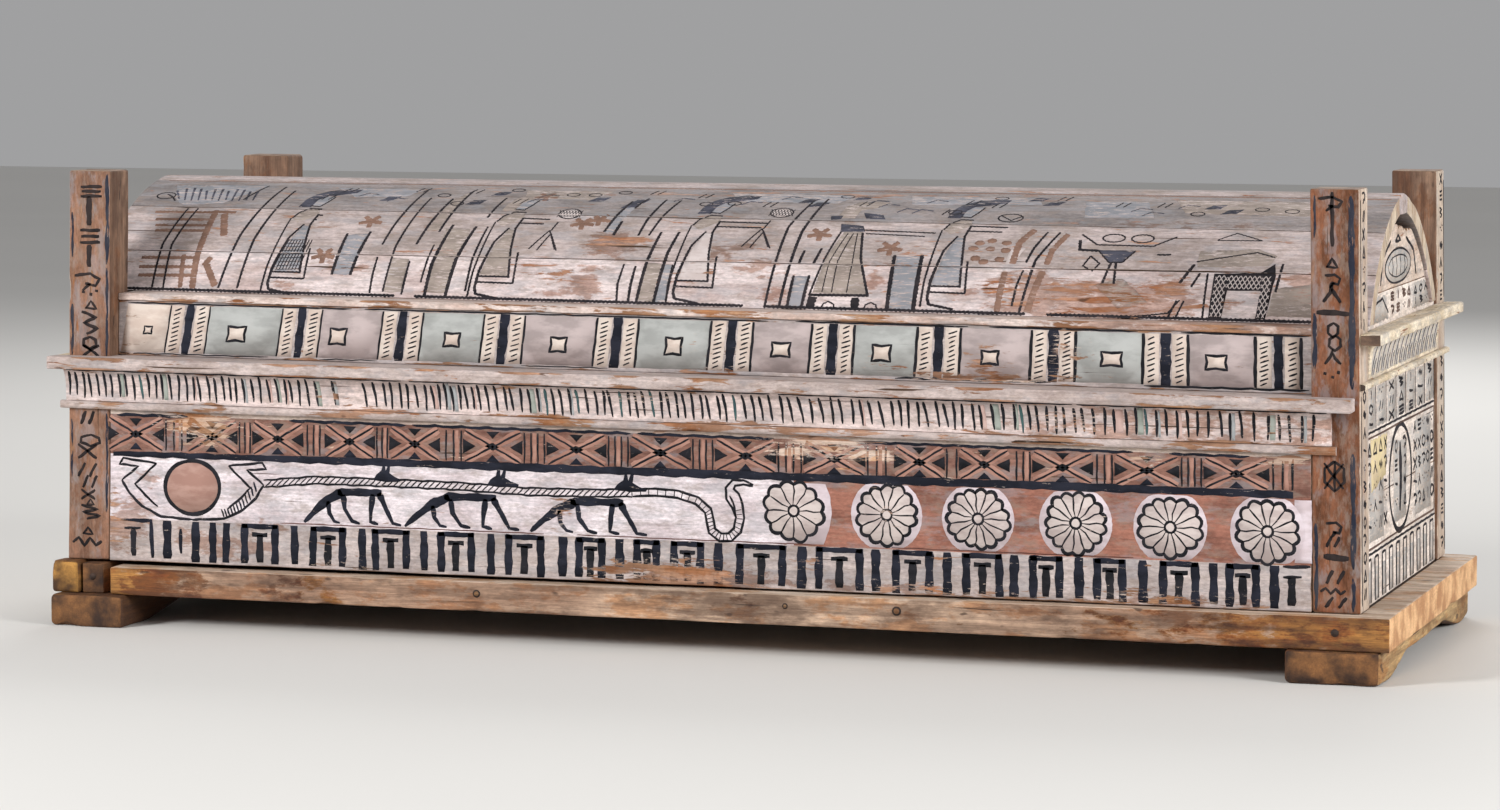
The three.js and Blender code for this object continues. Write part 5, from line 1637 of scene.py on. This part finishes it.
def on_end(end, rise, back, flare, u, v, proud):
    """A place on an end: u runs across it, v up it. Posts stand proud of the boards, and the cavetto
    between the rise heights follows its own section."""
    share = (v - rise[0]) / (rise[1] - rise[0])
    moulded = back + hollow_out(share, HOLLOW_FOOT, flare)
    out = np.where(np.abs(u) > END_HALF + 0.3, HALF, np.where((share > 0) & (share < 1), moulded, END_FACE))
    return np.stack([end * (out + proud + 0.3), u, v], axis=1)


def column(sheet, u, top, foot, wide, pitch, width, pigment=0):
    """Plain marks of changing kinds, one under another, down a column."""
    for level in np.arange(top, foot, -pitch):
        mark(sheet, int(sheet.rng.integers(0, len(MARKS))), u + sheet.rng.uniform(-1.5, 1.5), level,
             wide * sheet.rng.uniform(0.7, 1.1), pitch * 0.62, width, pigment)


def bars(sheet, pitch, foot, top, wash, line):
    """Upright bars across an end's foot, each a broad wash between dark lines, with a pale square cap."""
    for u in np.arange(-244, 251, pitch):
        lean = sheet.rng.uniform(-1.5, 1.5)
        sheet.fill([u - 13 + lean, foot, u + 9 + lean, foot, u + 9, top - 14, u - 13, top - 14], wash, 0.14,
                   0.6)
        sheet.stroke([u - 14 + lean, foot, u - 14, top], 6.5, line)
        sheet.stroke([u + 12 + lean, foot, u + 12, top], 4, line)
        sheet.stroke([u - 14, top, u + 12, top], 4, line)


right = Sheet(601)
bars(right, 54, 3, 62, E_GREY, E_BLACK)
right.stroke([-266, 69, 266, 69], 3.6)
right.stroke([-262, 76, 262, 76, 262, 226, -262, 226], 3, E_BROWN, closed=True)
for u, half in ((-190, 52), (172, 62)):
    right.fill([u - half, 84, u + half, 84, u + half, 218, u - half, 218], E_GREY, 0.12, 1.5)
right.fill([-228, 150, -120, 168, -110, 222, -232, 222], E_YELLOW, 0.18, 2)
right.fill([-60, 92, 34, 92, 40, 200, -62, 206], E_GREY, 0.12, 1.5)
OVAL = circle(-8, 151, 86, 36, 0.86)
right.stroke(OVAL, 8, closed=True)
right.stroke([-12, 200, -6, 150, -14, 104], (12, 26, 20, 14))
for u, width in ((-42, 4.6), (26, 4.6)):
    column(right, u, 196, 104, 24, 26, width, E_BLACK)
for u in (-240, -200, -160, -122, 108, 142, 176, 210, 244):
    column(right, u, 210, 88, 26, 26, 4.2, E_BLACK)
right.stroke([-266, 233, 266, 233], 3.4)
for k in range(7):
    u = -228 + 76 * k
    right.fill([u - 29, 238, u + 29, 238, u + 29, 292, u - 29, 292], E_GREY, 0.12, 1.5)
    column(right, u, 284, 242, 38, 20, 4.4, E_BLACK)
    right.stroke([u + 36, 236, u + 36, 294], 3.4)
for u in np.arange(-238, 250, 34):
    right.fill([u - 15, 312, u + 13, 312, u + 15, 350, u - 13, 350], E_GREY, 0.12, 1, 6, 6)
    right.stroke([u - 13, 314, u - 4, 330, u + 3, 342, u + 14, 351], 4.4, E_BLACK, 0.34)
    right.stroke([u - 1, 313, u + 7, 326, u + 16, 333], 3.4, E_BLACK, 0.34)
right.fill([-250, 378, -96, 378, -120, 412, -214, 412], E_GREY, 0.12, 2)
right.stroke([-250, 380, -206, 402, -140, 408, -96, 386], 4)
right.fill([90, 378, 230, 378, 196, 413, 110, 413], E_GREY, 0.12, 2)
for u in (-64, -20, 24, 64):
    column(right, u, 406, 384, 28, 18, 4, E_BROWN)
for u in (116, 160, 200):
    column(right, u, 404, 386, 28, 16, 4, E_BLACK)
right.fill(circle(-20, 446, 98, 30, 0.24), E_GREY, 0.14)
right.stroke(circle(-20, 446, 98, 30, 0.24), 3.2, closed=True)
right.stroke(circle(-20, 446, 74, 26, 0.2), 2.2, closed=True)
for u in (-66, -36, -6, 26):
    right.stroke([u, 433, u + 8, 446, u, 460], 3.6)
for way in (-1, 1):
    right.stroke([-16 + way * 60, 482, -16 + way * 118, 462, -16 + way * 138, 426], 5)
column(right, -20, 484, 474, 40, 14, 4, E_BLACK)
for post_side in (-1, 1):
    for top, foot in ((552, 380), (288, 16)):
        column(right, post_side * 301, top, foot, 20, 24, 3.2, E_BLACK)
    right.stroke([post_side * 322, 550, post_side * 323, 380], (3, 1.6, 3.4), E_BLACK, 0.3, 0.4, 0.9)
    right.stroke([post_side * 322, 290, post_side * 323, 10], (1.6, 3.4, 2, 3.6), E_BLACK, 0.3, 0.4, 0.9)
right.lay("right_end_paint", lambda u, v, proud: on_end(1, RIGHT_HOLLOW, SEAT, END_FLARE, u, v, proud),
          END_PIGMENTS, follows=False)

left = Sheet(611)
bars(left, 60, 4, 58, E_GREY, E_BLACK)
left.stroke([-266, 69, 266, 69], 3.6)
left.stroke([-258, 78, 258, 78, 258, 208, -258, 208], 3, E_BROWN, closed=True)
for k in range(5):
    left.stroke([-180 + 90 * k, 82, -180 + 90 * k, 204], 5, E_GREY)
for u in np.arange(-244, 250, 22):
    left.stroke([u, 232, u + 2, 252, u - 1, 271], 3, E_BLACK, 0.3, 0.5, 0.4, 5)
left.stroke(circle(0, 400, 120, 34, 0.42), 3.4, E_BROWN, closed=True)
left.lay("left_end_paint", lambda u, v, proud: on_end(-1, HOLLOW, SEAT, END_FLARE, u, v, proud),
         END_PIGMENTS, flip=True)

# ------------------------
# Back painting, plainer than the front. Bars along the foot, lines between the bands, a row
# of crosses, brush strokes in the cavetto, squares above, and slanting lines on the vault.


def on_back(u, v, proud):
    """A place on the back: the wall, then the cavetto's hollow, then the upper board."""
    deep = hollow_out((v - HOLLOW[0]) / (HOLLOW[1] - HOLLOW[0]), HOLLOW_FOOT, HOLLOW_FLARE)
    out = np.where(v < FRIEZE_TOP + 5, WALL_FACE, np.where(v < HOLLOW[1], PLANTED + deep, PANEL_FACE))
    return np.stack([u, out + proud, v], axis=1)


back = Sheet(701)
for level, width in ((63, 4), (156, 6), (211, 6)):
    back.stroke([-866, level, 0, level + 0.8, 878, level], width, step=14)
for u in np.arange(-850, 870, 52):
    back.stroke([u, 57, u + back.rng.uniform(-1.5, 1.5), 4], BAR_WIDTH, BLUE, taper=0.9)
    back.stroke([u, 54, u + 26, 54], 6, BLUE)
for u in np.arange(-780, 800, 260):
    back.fill(circle(u, 110, 37, 30), TAN, 0.16)
    back.stroke(circle(u, 110, 37, 30), 3.6, closed=True)
    back.stroke(circle(u, 110, 12, 16), 2.8, closed=True)
for u in np.arange(-838, 860, 58):
    for way in (-1, 1):
        back.stroke([u - 20, 183 - 17 * way, u + 20, 183 + 17 * way], 6, PINK)
    back.stroke([u + 29, 163, u + 29, 205], 4)
for u in np.arange(-860, 872, 15):
    lean = back.rng.uniform(0, 5)
    back.stroke([u - lean, 271, u - 0.3 * lean, 252, u + 0.3 * lean, 233], (3.3, 3, 2.2), BLACK, 0.28, 0.5,
                0.4, 6)
for u in np.arange(-800, 830, 162):
    back.stroke([u, 297, u, 369], 13, BLUE)
    back.stroke([u + 68, 322, u + 94, 322, u + 94, 346, u + 68, 346], 3.6, closed=True)
back.lay("back_paint", on_back, FRONT_PIGMENTS, flip=True)

back_vault = VaultSheet(711)
for u in (-820, -560, -300, -40, 220, 480, 740):
    for shift, width in ((0, 2.8), (22, 2.4), (58, 3.4), (80, 2.6)):
        back_vault.stroke([u + shift, 72, u + shift - 16, 180, u + shift - 20, 306], width)
    back_vault.fill([u + 30, 150, u + 48, 150, u + 42, 290, u + 26, 290], V_OLIVE)
back_vault.lay("back_vault_paint", lambda u, v, proud: on_vault(u, v, -proud, 1), VAULT_PIGMENTS,
               follows=False)
